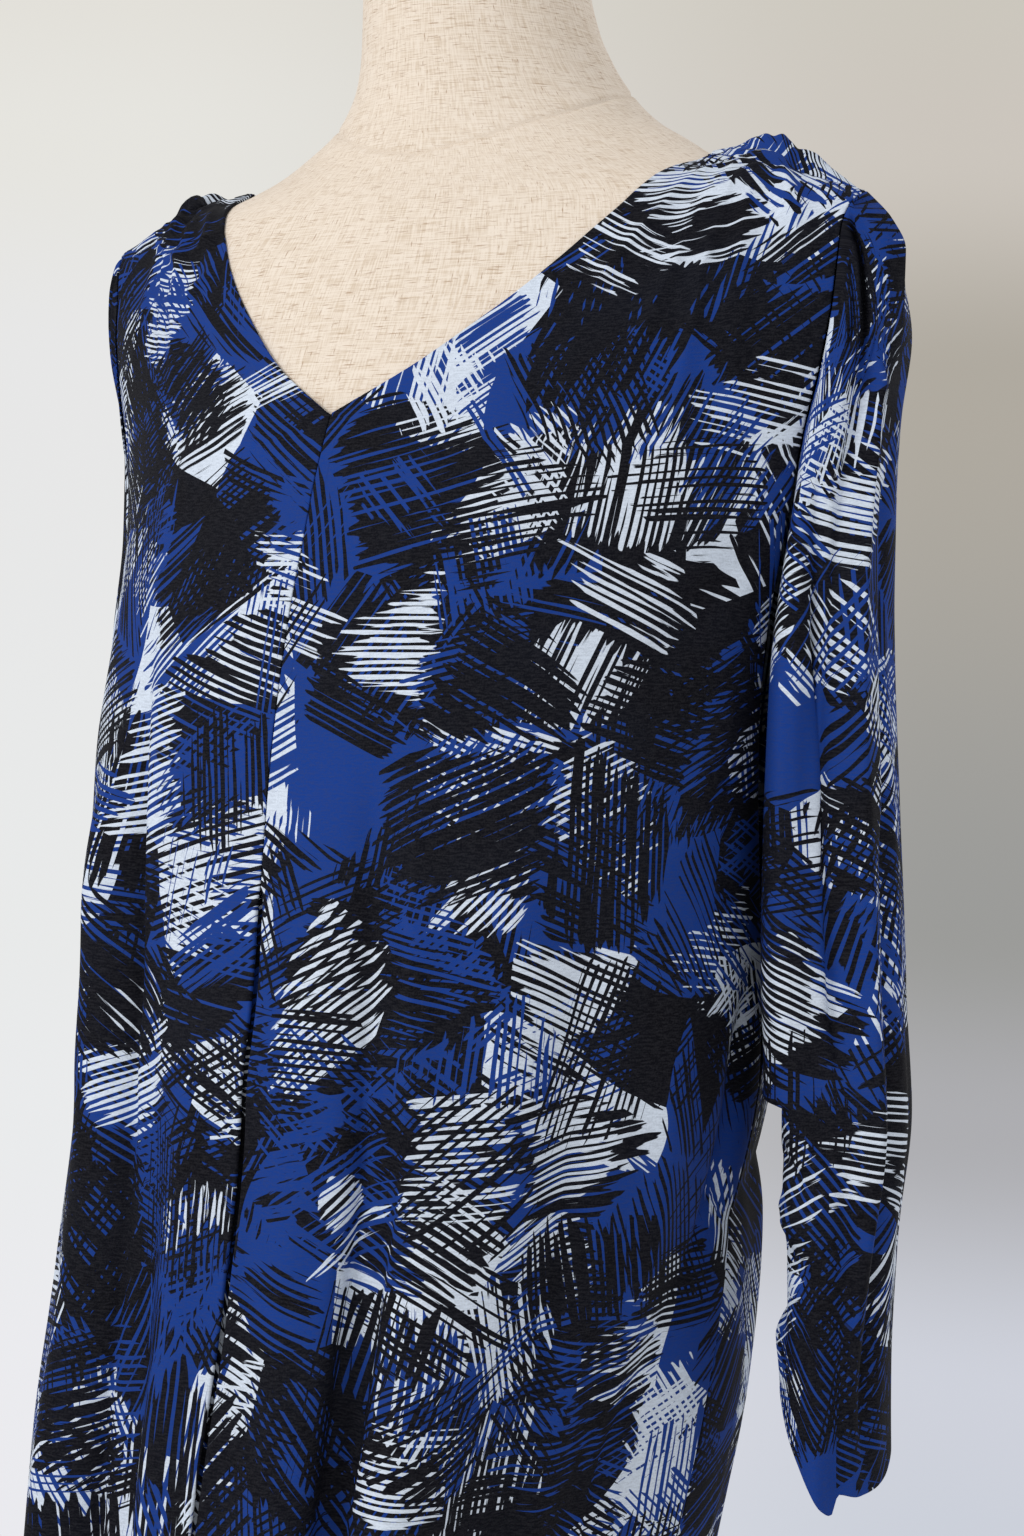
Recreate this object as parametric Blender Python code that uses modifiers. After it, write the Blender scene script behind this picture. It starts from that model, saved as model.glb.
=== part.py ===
"""A loose V-neck blouse with long sleeves, hanging on a limbless dress form.

Metres, +Z up. The floor is z = 0, the front faces -Y and the wearer's left is +X.
Heights in the tables are measured from the neck end of the shoulder seam, down is negative.
"""

import math
from collections import namedtuple

import bpy
import numpy as np

SHOULDER_HEIGHT = 0.800  # neck end of the shoulder seam above the floor
BLOUSE_LENGTH = 0.690  # from there to the hem
STITCH_END = -0.335  # the centre seam is sewn down to here, and a pleat opens below
UNDERARM = -0.430
CUFF = -0.588

CLOTH = 0.0012  # wall
SEAM_GAP = 0.0003
SHOULDER_GAP = 0.0010  # over the shoulder, where the panels meet at an angle
CLEAR_OF_FORM = 0.0006

PANEL_COLUMNS = 22
BACK_COLUMNS = 14
HEM_TO_UNDERARM_ROWS = 7
UNDERARM_TO_CHEST_ROWS = 8
CHEST_TO_TIP_ROWS = 11
BACK_NECK_ROW = 18  # the row of the back that meets the neckline at its centre
SLEEVE_COLUMNS = 2 * CHEST_TO_TIP_ROWS
CUFF_ROWS = 6
CAP_SHARES = (0.0, 0.05, 0.13, 0.26, 0.46, 0.72)  # the cap's rows, from the armhole to the first ring

PLEAT_DEPTH = 0.040
PLEAT_LAYER = 0.0032  # from one layer of the pleat to the next
PLEAT_OPEN = 0.0017  # from the centre line to each folded edge

BASE_RADIUS = 0.140
BASE_THICKNESS = 0.014
POLE_RADIUS = 0.014
FORM_BOTTOM = -0.665
FORM_SEGMENTS = 28

# The body's level sections: its middle, its side seam and the half width of the armhole there,
# and the angle at which a panel ends.
BodyRow = namedtuple("BodyRow", "height sway front side seam armhole back end_angle")
BODY = [
    BodyRow(-0.690, -0.032, -0.190, 0.165, -0.017, 0.000, 0.106, 90),
    BodyRow(-0.600, -0.022, -0.187, 0.166, -0.014, 0.000, 0.108, 90),
    BodyRow(-0.520, -0.011, -0.184, 0.167, -0.006, 0.000, 0.112, 90),
    BodyRow(-0.430, -0.002, -0.184, 0.168, 0.001, 0.000, 0.109, 90),
    BodyRow(-0.380, -0.002, -0.176, 0.168, 0.003, 0.009, 0.108, 90),
    BodyRow(-0.330, -0.003, -0.170, 0.169, 0.007, 0.019, 0.108, 90),
    BodyRow(-0.270, -0.004, -0.161, 0.171, 0.011, 0.029, 0.110, 86),
    BodyRow(-0.220, -0.003, -0.152, 0.175, 0.013, 0.037, 0.113, 76),
    BodyRow(-0.163, 0.000, -0.139, 0.184, 0.013, 0.039, 0.113, 64),
    BodyRow(-0.131, 0.000, -0.127, 0.189, 0.012, 0.038, 0.111, 58),
    BodyRow(-0.100, 0.000, -0.112, 0.196, 0.010, 0.034, 0.107, 54),
    BodyRow(-0.067, 0.000, -0.096, 0.201, 0.007, 0.029, 0.101, 50),
    BodyRow(-0.050, 0.000, -0.088, 0.202, 0.005, 0.025, 0.096, 48),
    BodyRow(-0.034, 0.000, -0.080, 0.203, 0.002, 0.020, 0.090, 46),
    BodyRow(-0.024, 0.000, -0.076, 0.205, 0.001, 0.013, 0.088, 44),
    BodyRow(-0.018, 0.000, -0.072, 0.207, 0.000, 0.000, 0.086, 44),
]
HEM_DRAW = {1: -0.026, -1: -0.005}  # how far the hem swings out at the left side and the right
FRONT_FULLNESS = 2.3  # of the sections under the chest; 2 is an ellipse
BACK_FULLNESS = 2.05
NECK_FULLNESS = 2.0

# A neckline, from the centre (share 0) to the neck end of the shoulder seam (share 1).
NeckRow = namedtuple("NeckRow", "share x y height")
FRONT_NECK = [
    NeckRow(0.00, 0.000, -0.124, -0.122),
    NeckRow(0.22, 0.038, -0.109, -0.098),
    NeckRow(0.42, 0.064, -0.093, -0.076),
    NeckRow(0.60, 0.087, -0.074, -0.054),
    NeckRow(0.76, 0.106, -0.053, -0.031),
    NeckRow(0.90, 0.121, -0.029, -0.009),
    NeckRow(1.00, 0.130, -0.003, 0.004),
]
BACK_NECK = [
    NeckRow(0.00, 0.000, 0.092, -0.030),
    NeckRow(0.28, 0.036, 0.088, -0.028),
    NeckRow(0.52, 0.070, 0.075, -0.020),
    NeckRow(0.76, 0.104, 0.045, -0.006),
    NeckRow(1.00, 0.130, -0.003, 0.004),
]

# A ridge (depth over 0) or valley (under 0) runs down a panel. Angles are degrees from the
# panel's centre line, 90 at its side; a fold has its full depth at the hem and none at its top.
Fold = namedtuple("Fold", "top top_angle hem_angle width depth")
FOLDS = {
    "front_right": [
        Fold(-0.20, 25.0, 12.0, 5.0, -0.011),
        Fold(-0.16, 46.0, 38.0, 15.0, 0.009),
        Fold(-0.42, 66.0, 68.0, 7.0, -0.009),
    ],
    "front_left": [
        Fold(-0.33, 24.0, 24.0, 5.0, -0.014),
        Fold(-0.36, 34.0, 34.0, 5.5, 0.006),
        Fold(-0.42, 50.0, 47.0, 7.0, -0.006),
        Fold(-0.45, 74.0, 72.0, 6.0, -0.008),
    ],
    "back_left": [
        Fold(-0.16, 26.0, 22.0, 8.0, -0.010),
        Fold(-0.30, 48.0, 44.0, 8.0, 0.006),
        Fold(-0.36, 69.0, 63.0, 15.0, -0.017),
    ],
    "back_right": [
        Fold(-0.22, 12.0, 8.0, 8.0, 0.007),
        Fold(-0.18, 34.0, 30.0, 8.0, -0.010),
        Fold(-0.28, 60.0, 55.0, 8.0, 0.007),
        Fold(-0.34, 76.0, 73.0, 6.0, -0.007),
    ],
}

GATHERS = 6  # at each shoulder seam, deepest round its knot
GATHER_DEPTH = 0.0030
GATHER_LENGTH = 0.040
KNOT_PLACE = {1: 0.40, -1: 0.47}  # share of the shoulder seam, from its neck end, left then right
KNOT_HEIGHT = 0.0045
KNOT_RADIUS = 0.0075
PUFF_HEIGHT = 0.019  # of the cloth behind the shoulder seam
PUFF_LENGTH = 0.080
PINCH_HEIGHT = 0.009  # of the cloth that stands up just behind the knot
PINCH_RADIUS = 0.016

# Centre, half depths towards the body and away from it, half width front to back, and the
# angle that the section reaches on each side of its outermost point.
SleeveRow = namedtuple("SleeveRow", "height x y inner outer half_width reach")
SLEEVE = [
    SleeveRow(-0.640, 0.2060, 0.000, 0.019, 0.022, 0.040, 180),
    SleeveRow(-0.550, 0.2050, 0.000, 0.018, 0.020, 0.041, 180),
    SleeveRow(-0.500, 0.2050, 0.001, 0.019, 0.023, 0.044, 180),
    SleeveRow(-0.440, 0.2045, 0.002, 0.022, 0.029, 0.049, 180),
    SleeveRow(-0.380, 0.2000, 0.003, 0.021, 0.029, 0.049, 174),
    SleeveRow(-0.300, 0.1970, 0.004, 0.017, 0.026, 0.048, 160),
    SleeveRow(-0.210, 0.1950, 0.006, 0.013, 0.022, 0.044, 138),
    SleeveRow(-0.160, 0.1970, 0.009, 0.010, 0.018, 0.041, 122),
    SleeveRow(-0.120, 0.2005, 0.009, 0.008, 0.017, 0.037, 110),
    SleeveRow(-0.075, 0.2060, 0.006, 0.006, 0.020, 0.030, 98),
    SleeveRow(-0.045, 0.2060, 0.004, 0.004, 0.020, 0.024, 92),
    SleeveRow(-0.030, 0.2050, 0.003, 0.002, 0.014, 0.019, 90),
    SleeveRow(-0.018, 0.2060, 0.000, 0.001, 0.001, 0.001, 90),
]
CAP_DEPTH = {1: 1.0, -1: 0.62}  # the share of the outer half depth that each cap keeps, left then right
SLEEVE_SWING = {1: -0.001, -1: 0.016}  # how far back each one hangs, left then right
SLEEVE_SWAY = {1: 0.0, -1: 0.9}  # the share of the body's sway that each one follows
CUFF_SLANT = 0.026  # how far the cuff's outer front dips under its middle
CUFF_SLANT_ANGLE = -28.0
SEAM_TURN = 0.0017  # how far the sleeve's edge lies outside the body's where the two turn back to back

# Angles round a sleeve: 0 away from the body, -90 to the front, 90 to the back.
SleeveFold = namedtuple("SleeveFold", "top bottom top_angle bottom_angle width depth")
SLEEVE_FOLDS = {
    1: [
        SleeveFold(-0.20, -0.50, -76.0, -72.0, 18.0, -0.007),
        SleeveFold(-0.08, -0.80, -34.0, -60.0, 15.0, -0.005),
        SleeveFold(-0.20, -0.80, 70.0, 78.0, 18.0, -0.008),
        SleeveFold(-0.45, -0.80, 150.0, 165.0, 20.0, -0.005),
    ],
    -1: [
        SleeveFold(-0.16, -0.80, -64.0, -70.0, 18.0, -0.007),
        SleeveFold(-0.24, -0.80, 60.0, 82.0, 18.0, -0.008),
        SleeveFold(-0.44, -0.80, 158.0, 148.0, 20.0, -0.005),
    ],
}

FormRow = namedtuple("FormRow", "height half_width ridge front back fullness")
FORM = [
    FormRow(-0.665, 0.128, 0.000, -0.095, 0.091, 2.2),
    FormRow(-0.580, 0.143, 0.000, -0.101, 0.100, 2.2),
    FormRow(-0.500, 0.148, 0.000, -0.103, 0.103, 2.2),
    FormRow(-0.420, 0.132, 0.000, -0.096, 0.094, 2.2),
    FormRow(-0.360, 0.122, 0.000, -0.094, 0.086, 2.2),
    FormRow(-0.300, 0.127, 0.000, -0.108, 0.088, 2.2),
    FormRow(-0.250, 0.138, 0.000, -0.129, 0.093, 2.1),
    FormRow(-0.210, 0.147, 0.000, -0.134, 0.098, 2.1),
    FormRow(-0.170, 0.157, 0.000, -0.130, 0.102, 2.0),
    FormRow(-0.120, 0.170, 0.000, -0.1185, 0.104, 2.0),
    FormRow(-0.080, 0.181, 0.000, -0.099, 0.102, 2.0),
    FormRow(-0.045, 0.187, 0.001, -0.081, 0.095, 1.9),
    FormRow(-0.026, 0.182, 0.003, -0.071, 0.089, 1.8),
    FormRow(-0.015, 0.171, 0.006, -0.065, 0.084, 1.8),
    FormRow(-0.008, 0.156, 0.009, -0.061, 0.080, 1.8),
    FormRow(-0.002, 0.141, 0.015, -0.058, 0.076, 1.8),
    FormRow(0.006, 0.123, 0.021, -0.0545, 0.071, 1.8),
    FormRow(0.018, 0.103, 0.027, -0.0515, 0.066, 1.8),
    FormRow(0.028, 0.086, 0.030, -0.0500, 0.064, 1.9),
    FormRow(0.040, 0.0735, 0.028, -0.0490, 0.061, 2.0),
    FormRow(0.055, 0.0650, 0.020, -0.0495, 0.0575, 2.0),
    FormRow(0.072, 0.0595, 0.010, -0.0510, 0.0555, 2.0),
    FormRow(0.095, 0.0560, 0.002, -0.0520, 0.0540, 2.0),
    FormRow(0.116, 0.0555, 0.000, -0.0515, 0.0535, 2.0),
    FormRow(0.123, 0.0540, 0.000, -0.0500, 0.0520, 2.0),
    FormRow(0.126, 0.0490, 0.000, -0.0455, 0.0475, 2.0),
]


def through(places, values):
    """A smooth curve through the values at rising places, which doesn't overshoot them."""
    steps = np.diff(places)
    slopes = np.diff(values) / steps
    bends = np.zeros(len(values))
    bends[0], bends[-1] = slopes[0], slopes[-1]
    both = slopes[:-1] * slopes[1:]
    total = slopes[:-1] + slopes[1:]
    bends[1:-1] = np.where(both > 0, 2 * both / np.where(total == 0, 1, total), 0)

    def at(place):
        i = np.clip(np.searchsorted(places, place) - 1, 0, len(steps) - 1)
        t = np.clip((place - places[i]) / steps[i], 0, 1)
        start = values[i] * (1 + 2 * t) + bends[i] * steps[i] * t
        end = values[i + 1] * (3 - 2 * t) + bends[i + 1] * steps[i] * (t - 1)
        return start * (1 - t) ** 2 + end * t**2

    return at


def curves_of(rows):
    """One smooth curve for each column of a table, over its first column."""
    table = np.array(sorted(rows))
    names = type(rows[0])._fields[1:]
    columns = {name: through(table[:, 0], table[:, i + 1]) for i, name in enumerate(names)}
    return namedtuple("Curves", names)(**columns)


body = curves_of(BODY)
front_neck = curves_of(FRONT_NECK)
back_neck = curves_of(BACK_NECK)
sleeve = curves_of(SLEEVE)
form = curves_of(FORM)


def body_seam(end, height):
    """The y of a panel's edge at its side, of the front (end -1) or the back (end 1)."""
    return body.seam(height) + end * body.armhole(height)


def smoothstep(low, high, value):
    t = np.clip((value - low) / (high - low), 0, 1)
    return t * t * (3 - 2 * t)


def form_value(points):
    """Under 0 inside the dress form, 0 on it and over 0 outside."""
    x, y, z = points.T
    z = np.clip(z, FORM[0].height, FORM[-1].height)
    away = y - form.ridge(z)
    depth = np.where(away < 0, form.ridge(z) - form.front(z), form.back(z) - form.ridge(z))
    power = form.fullness(z)
    return ((np.abs(x) / form.half_width(z)) ** power + (np.abs(away) / depth) ** power) ** (1 / power) - 1


def clear_of_form(points, distance):
    """Moves the points that lie inside the form, or nearer than the distance, out of it."""
    points = points.copy()
    small = 1e-4
    for _ in range(6):
        value = form_value(points)
        slope = np.stack(
            [(form_value(points + step) - value) / small for step in small * np.eye(3)], axis=1
        )
        steepness = np.maximum(np.linalg.norm(slope, axis=1), 1e-6)
        short = np.maximum(distance - value / steepness, 0)
        points += slope * (short / steepness)[:, None]
    return points


def rested_on_form(grid):
    """A grid of points moved clear of the form, and so the middles of its edges are."""
    distance = CLOTH / 2 + CLEAR_OF_FORM
    for _ in range(3):
        grid = clear_of_form(grid.reshape(-1, 3), distance).reshape(grid.shape)
        for first, second in ((grid[:-1], grid[1:]), (grid[:, :-1], grid[:, 1:])):
            middle = ((first + second) / 2).reshape(-1, 3)
            moved = (clear_of_form(middle, distance) - middle).reshape(first.shape)
            first += moved
            second += moved
    return grid


def folds_at(folds, angle, height):
    """How far a panel's folds move the cloth out."""
    hem = -BLOUSE_LENGTH
    out = np.zeros_like(angle)
    for fold in folds:
        share = np.clip((fold.top - height) / (fold.top - hem), 0, 1)
        middle = fold.top_angle + (fold.hem_angle - fold.top_angle) * share
        grown = fold.depth * smoothstep(0, 0.85, share)
        out += grown * np.exp(-(((angle - middle) / fold.width) ** 2))
    return out


def seam_heights():
    """The heights of a panel's rows at its side, hem first; the front, back and sleeves share them."""
    hem, chest, tip = -BLOUSE_LENGTH, FRONT_NECK[0].height - 0.006, BODY[-1].height
    return np.concatenate([
        np.linspace(hem, UNDERARM, HEM_TO_UNDERARM_ROWS + 1)[:-1],
        np.linspace(UNDERARM, chest, UNDERARM_TO_CHEST_ROWS + 1)[:-1],
        np.linspace(chest, tip, CHEST_TO_TIP_ROWS + 1),
    ])


def inner_edge(front, row, seam):
    """Where a row starts: on the centre line, or above the neckline's lowest point on the neckline."""
    chest = len(seam) - 1 - CHEST_TO_TIP_ROWS
    lowest = chest if front else BACK_NECK_ROW
    neck, middle = (front_neck, body.front) if front else (back_neck, body.back)
    if row > lowest:
        share = (row - lowest) / (len(seam) - 1 - lowest)
        return neck.x(share), neck.y(share), neck.height(share)
    if row <= chest:
        rise = (FRONT_NECK[0].height - seam[chest]) * (row / chest) ** 3
        height = seam[row] + rise
    else:
        height = np.interp(row, [chest, lowest], [FRONT_NECK[0].height, BACK_NECK[0].height])
    return 0.0, middle(height), height


def panel_row(side, name, row, shares, seam):
    """One row of half the body, from its centre or neckline to its side seam or armhole."""
    front = name.startswith("front")
    inner_x, inner_y, inner_height = inner_edge(front, row, seam)
    low = seam[row]
    outer_x = body.side(low) + HEM_DRAW[side] * smoothstep(-0.33, -BLOUSE_LENGTH, low)
    outer_y = body_seam(-1 if front else 1, low)
    full = FRONT_FULLNESS if front else BACK_FULLNESS
    power = 2 / (full + (NECK_FULLNESS - full) * smoothstep(-0.28, -0.12, low))
    last = math.radians(min(body.end_angle(low), 90))
    reach = outer_x / math.sin(last) ** power
    first = math.asin((inner_x / reach) ** (1 / power))
    turn = first + (last - first) * shares
    across = np.sin(turn) ** power
    deep = np.maximum(np.cos(turn), 0) ** power
    depth = (inner_y - outer_y) / (deep[0] - deep[-1])
    x = reach * across
    y = outer_y + depth * (deep - deep[-1])
    heights = inner_height + (low - inner_height) * shares**1.25
    out = folds_at(FOLDS[name], np.degrees(turn), heights) * (1 - smoothstep(0.90, 1.0, shares))
    x = x + out * np.sin(turn)
    y = y + out * np.sign(depth) * np.cos(turn)
    return np.stack([side * x + body.sway(heights), y, heights], axis=1)


def shoulder_lift(side, front, from_seam, along, shares):
    """Gathers at the shoulder seam, its knot, and the puff of cloth behind it."""
    place = along[-1] * KNOT_PLACE[side]
    near = np.exp(-(((along - place) / (along[-1] * 0.34)) ** 2))
    waves = 1 - np.cos(2 * math.pi * GATHERS * (along - place) / along[-1])
    lift = GATHER_DEPTH / 2 * math.exp(-from_seam / GATHER_LENGTH) * waves * near
    lift += KNOT_HEIGHT * np.exp(-((along - place) ** 2 + from_seam**2) / KNOT_RADIUS**2)
    if not front:
        lift += PUFF_HEIGHT * math.sin(math.pi * min(1, from_seam / PUFF_LENGTH)) * shares**0.3
        behind = (along - place) ** 2 + (from_seam - PINCH_RADIUS / 2) ** 2
        lift += PINCH_HEIGHT * np.exp(-behind / PINCH_RADIUS**2) * smoothstep(0, PINCH_RADIUS, from_seam)
    return lift * np.sin(math.pi * shares) ** 0.7


def panel_grid(side, name, columns):
    """All rows of half the body, hem first, resting clear on the form."""
    front = name.startswith("front")
    shares = np.linspace(0, 1, columns + 1)
    seam = seam_heights()
    grid = np.array([panel_row(side, name, row, shares, seam) for row in range(len(seam))])
    grid = rested_on_form(grid)
    for row in range(len(seam) - CHEST_TO_TIP_ROWS, len(seam)):
        from_seam = np.linalg.norm(grid[row] - grid[-1], axis=1).mean()
        along = np.linalg.norm(grid[row] - grid[row, 0], axis=1)
        grid[row, :, 2] += shoulder_lift(side, front, from_seam, along, shares)
    return grid


def pull_back(seam, before, distance):
    """Moves the points of a seam back towards the ones before them by the distance."""
    way = before - seam
    seam += way / np.linalg.norm(way, axis=-1)[..., None] * distance


def grid_faces(rows, columns, offset=0, closed=False):
    across = columns if closed else columns - 1
    faces = []
    for r in range(rows - 1):
        for c in range(across):
            a, b = r * columns + c, r * columns + (c + 1) % columns
            faces.append((offset + a, offset + b, offset + b + columns, offset + a + columns))
    return faces


def cloth_object(name, points, faces, outward, colour):
    """A cloth piece: an open surface with a wall, its faces turned out."""
    mesh = bpy.data.meshes.new(name)
    mesh.from_pydata([tuple(p) for p in points + [0, 0, SHOULDER_HEIGHT]], [], faces)
    if not outward:
        mesh.flip_normals()
    mesh.shade_smooth()
    mesh.set_sharp_from_angle(angle=math.radians(50))
    made = bpy.data.objects.new(name, mesh)
    parts.objects.link(made)
    mesh.materials.append(material(name, colour, 0.85, 0.0))
    wall = made.modifiers.new("wall", "SOLIDIFY")
    wall.thickness = CLOTH
    wall.offset = 0.0
    wall.use_even_offset = True
    return made


def material(name, colour, roughness, metallic):
    made = bpy.data.materials.new(name)
    made.use_nodes = True
    shader = made.node_tree.nodes["Principled BSDF"]
    shader.inputs["Base Color"].default_value = (*colour, 1)
    shader.inputs["Roughness"].default_value = roughness
    shader.inputs["Metallic"].default_value = metallic
    return made


def pleat_columns(face):
    """The two hidden layers of the pleat behind one front, from its folded edge to the centre seam."""
    lateral = [
        (0.0008, 0.5), (0.0040, 1.0), (PLEAT_DEPTH / 2, 1.0), (PLEAT_DEPTH - 0.002, 1.0),
        (PLEAT_DEPTH, 1.5), (PLEAT_DEPTH - 0.002, 2.0), (PLEAT_DEPTH / 2, 2.0), (0.0, 2.0),
    ]
    columns = []
    for row in face:
        way = row - row[0]
        along = np.linalg.norm(way[:, :2], axis=1)
        sign = np.sign(way[-1, 0])
        line = []
        for distance, layers in lateral:
            place = np.array([np.interp(distance, along, row[:, i]) for i in range(3)])
            ahead = np.array([np.interp(distance + 0.01, along, row[:, i]) for i in range(3)])
            run = (ahead - place)[:2] / np.linalg.norm((ahead - place)[:2])
            inwards = np.array([-run[1], run[0], 0]) * sign
            line.append(place + inwards * layers * PLEAT_LAYER)
        line[-1][0] = body.sway(row[0, 2]) + sign * SEAM_GAP / 2
        columns.append(line)
    return np.array(columns)


def trim_panel(grid, side, centre_rows):
    """Leaves the gaps at a panel's side, armhole, shoulder and centre seams."""
    pull_back(grid[-1], grid[-2], SHOULDER_GAP / 2)
    pull_back(grid[:, -1], grid[:, -2], SEAM_GAP / 2)
    grid[:centre_rows, 0, 0] = body.sway(grid[:centre_rows, 0, 2]) + side * SEAM_GAP / 2


def merged(points, faces, shared):
    """Faces whose points are swapped as given, and only the points that are still in use."""
    faces = [tuple(shared.get(v, v) for v in face) for face in faces]
    used = sorted({v for face in faces for v in face})
    order = {v: i for i, v in enumerate(used)}
    return np.array([points[v] for v in used]), [tuple(order[v] for v in face) for face in faces]


def make_front(side, name, colour):
    grid = panel_grid(side, name, PANEL_COLUMNS)
    centre_rows = grid.shape[0] - CHEST_TO_TIP_ROWS
    trim_panel(grid, side, centre_rows)
    open_rows = int((grid[:centre_rows, 0, 2] < STITCH_END).sum())
    grid[:open_rows, 0, 0] += side * (PLEAT_OPEN - SEAM_GAP / 2)
    rows, columns = grid.shape[:2]
    hidden = pleat_columns(grid[:open_rows])
    layers = hidden.shape[1]
    first = rows * columns
    points = np.concatenate([grid.reshape(-1, 3), hidden.reshape(-1, 3)])
    faces = grid_faces(rows, columns)
    faces += [tuple(reversed(face)) for face in grid_faces(open_rows, layers, first)]
    for r in range(open_rows - 1):
        turn = first + r * layers
        faces.append(((r + 1) * columns, turn + layers, turn, r * columns))
    cloth_object(name, points, faces, side > 0, colour)


def make_back(colour):
    """The two halves share the points on the centre line, up to the neckline."""
    points, faces = [], []
    for side, name in ((1, "back_left"), (-1, "back_right")):
        grid = panel_grid(side, name, BACK_COLUMNS)
        trim_panel(grid, side, BACK_NECK_ROW + 1)
        grid[: BACK_NECK_ROW + 1, 0, 0] = body.sway(grid[: BACK_NECK_ROW + 1, 0, 2])
        rows, columns = grid.shape[:2]
        own = grid_faces(rows, columns, len(points))
        faces += [tuple(reversed(face)) for face in own] if side > 0 else own
        points += list(grid.reshape(-1, 3))
    half = len(points) // 2
    shared = {half + r * columns: r * columns for r in range(BACK_NECK_ROW + 1)}
    for second, first in shared.items():
        points[first] = (points[first] + points[second]) / 2
    cloth_object("back", *merged(points, faces, shared), True, colour)


def sleeve_folds(side, angle, height):
    out = np.zeros_like(angle)
    for fold in SLEEVE_FOLDS[side]:
        share = np.clip((fold.top - height) / (fold.top - fold.bottom), 0, 1)
        middle = fold.top_angle + (fold.bottom_angle - fold.top_angle) * share
        away = (angle - middle + 180) % 360 - 180
        grown = smoothstep(0, 0.3, share) * (1 - smoothstep(0.75, 1, share))
        out += fold.depth * grown * np.exp(-((away / fold.width) ** 2))
    return out


def sleeve_points(side, heights, shares):
    """Points of a sleeve at the heights, each a share of the way round its level section there.

    Above the underarm a section is open and ends on the armhole seam, at share 0 in front and 1
    behind; below, it's closed.
    """
    angle = (2 * shares - 1) * sleeve.reach(heights)
    turn = np.radians(angle)
    outer = sleeve.outer(heights) * (1 + (CAP_DEPTH[side] - 1) * smoothstep(-0.17, -0.11, heights))
    depth = np.where(np.cos(turn) > 0, outer, sleeve.inner(heights))
    away = sleeve.x(heights) + depth * np.cos(turn)
    y = sleeve.y(heights) + sleeve.half_width(heights) * np.sin(turn)
    turned = SEAM_TURN * smoothstep(0, -0.20, heights)
    last = np.radians(body.end_angle(heights))
    for near, end in ((1 - shares, -1), (shares, 1)):
        reach = np.radians(sleeve.reach(heights))
        end_depth = np.where(np.cos(reach) > 0, outer, sleeve.inner(heights))
        end_x = sleeve.x(heights) + end_depth * np.cos(reach)
        end_y = sleeve.y(heights) + end * sleeve.half_width(heights) * np.sin(reach)
        pull = smoothstep(0.60, 1.0, near) * (heights > UNDERARM - 1e-6)
        away = away + (body.side(heights) + turned * np.sin(last) - end_x) * pull
        y = y + (body_seam(end, heights) + end * turned * np.cos(last) - end_y) * pull
    calm = smoothstep(0, 0.12, shares) * smoothstep(0, 0.12, 1 - shares)
    out = sleeve_folds(side, angle, heights) * np.where(heights > UNDERARM, calm, 1)
    free = smoothstep(-0.03, -0.16, heights) * np.where(heights > UNDERARM, calm, 1)
    swing = SLEEVE_SWING[side] * free
    x = side * (away + out * np.cos(turn)) + SLEEVE_SWAY[side] * body.sway(heights)
    y = y + out * np.sin(turn) + swing
    dip = np.cos(turn - math.radians(CUFF_SLANT_ANGLE)) * smoothstep(-0.46, CUFF, heights)
    return np.stack([x, y, heights - CUFF_SLANT * dip], axis=-1)


def sleeve_grid(side):
    """The cap's rows run from the armhole down to the first ring, and the rings down to the cuff."""
    shares = np.linspace(0, 1, SLEEVE_COLUMNS + 1)
    seam = seam_heights()
    chest = len(seam) - 1 - CHEST_TO_TIP_ROWS
    armhole = np.concatenate([seam[chest:], seam[chest:-1][::-1]])
    first_ring = seam[chest - 1]
    rows = []
    for cap in CAP_SHARES:
        heights = armhole + (first_ring - armhole) * cap
        edge = np.where(shares < 0.5, 0.0, np.where(shares > 0.5, 1.0, 0.5))
        rows.append(sleeve_points(side, heights, edge + (shares - edge) * cap**0.6))
    ring_heights = np.concatenate([
        seam[chest - 1 : HEM_TO_UNDERARM_ROWS - 1 : -1], np.linspace(UNDERARM, CUFF, CUFF_ROWS + 1)[1:],
    ])
    for height in ring_heights:
        rows.append(sleeve_points(side, np.full_like(shares, height), shares))
    grid = np.array(rows)
    # Between the armhole and the first ring, the edges run straight, as the body's do.
    for row, cap in enumerate(CAP_SHARES):
        for edge in (0, -1):
            grid[row, edge] = grid[0, edge] * (1 - cap) + grid[len(CAP_SHARES), edge] * cap
    return grid, len(CAP_SHARES) + UNDERARM_TO_CHEST_ROWS - 1


def make_sleeve(side, name, colour):
    """One tube, open at the armhole; its edges meet at the underarm and are one seam below it."""
    grid, open_rows = sleeve_grid(side)
    pull_back(grid[0], grid[1], SHOULDER_GAP)
    for edge, inside in ((0, 1), (-1, -2)):
        pull_back(grid[1:open_rows, edge], grid[1:open_rows, inside], SEAM_GAP)
    rows, columns = grid.shape[:2]
    shared = {r * columns + columns - 1: r * columns for r in range(open_rows, rows)}
    cloth_object(name, *merged(grid.reshape(-1, 3), grid_faces(rows, columns), shared), side < 0, colour)


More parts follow.
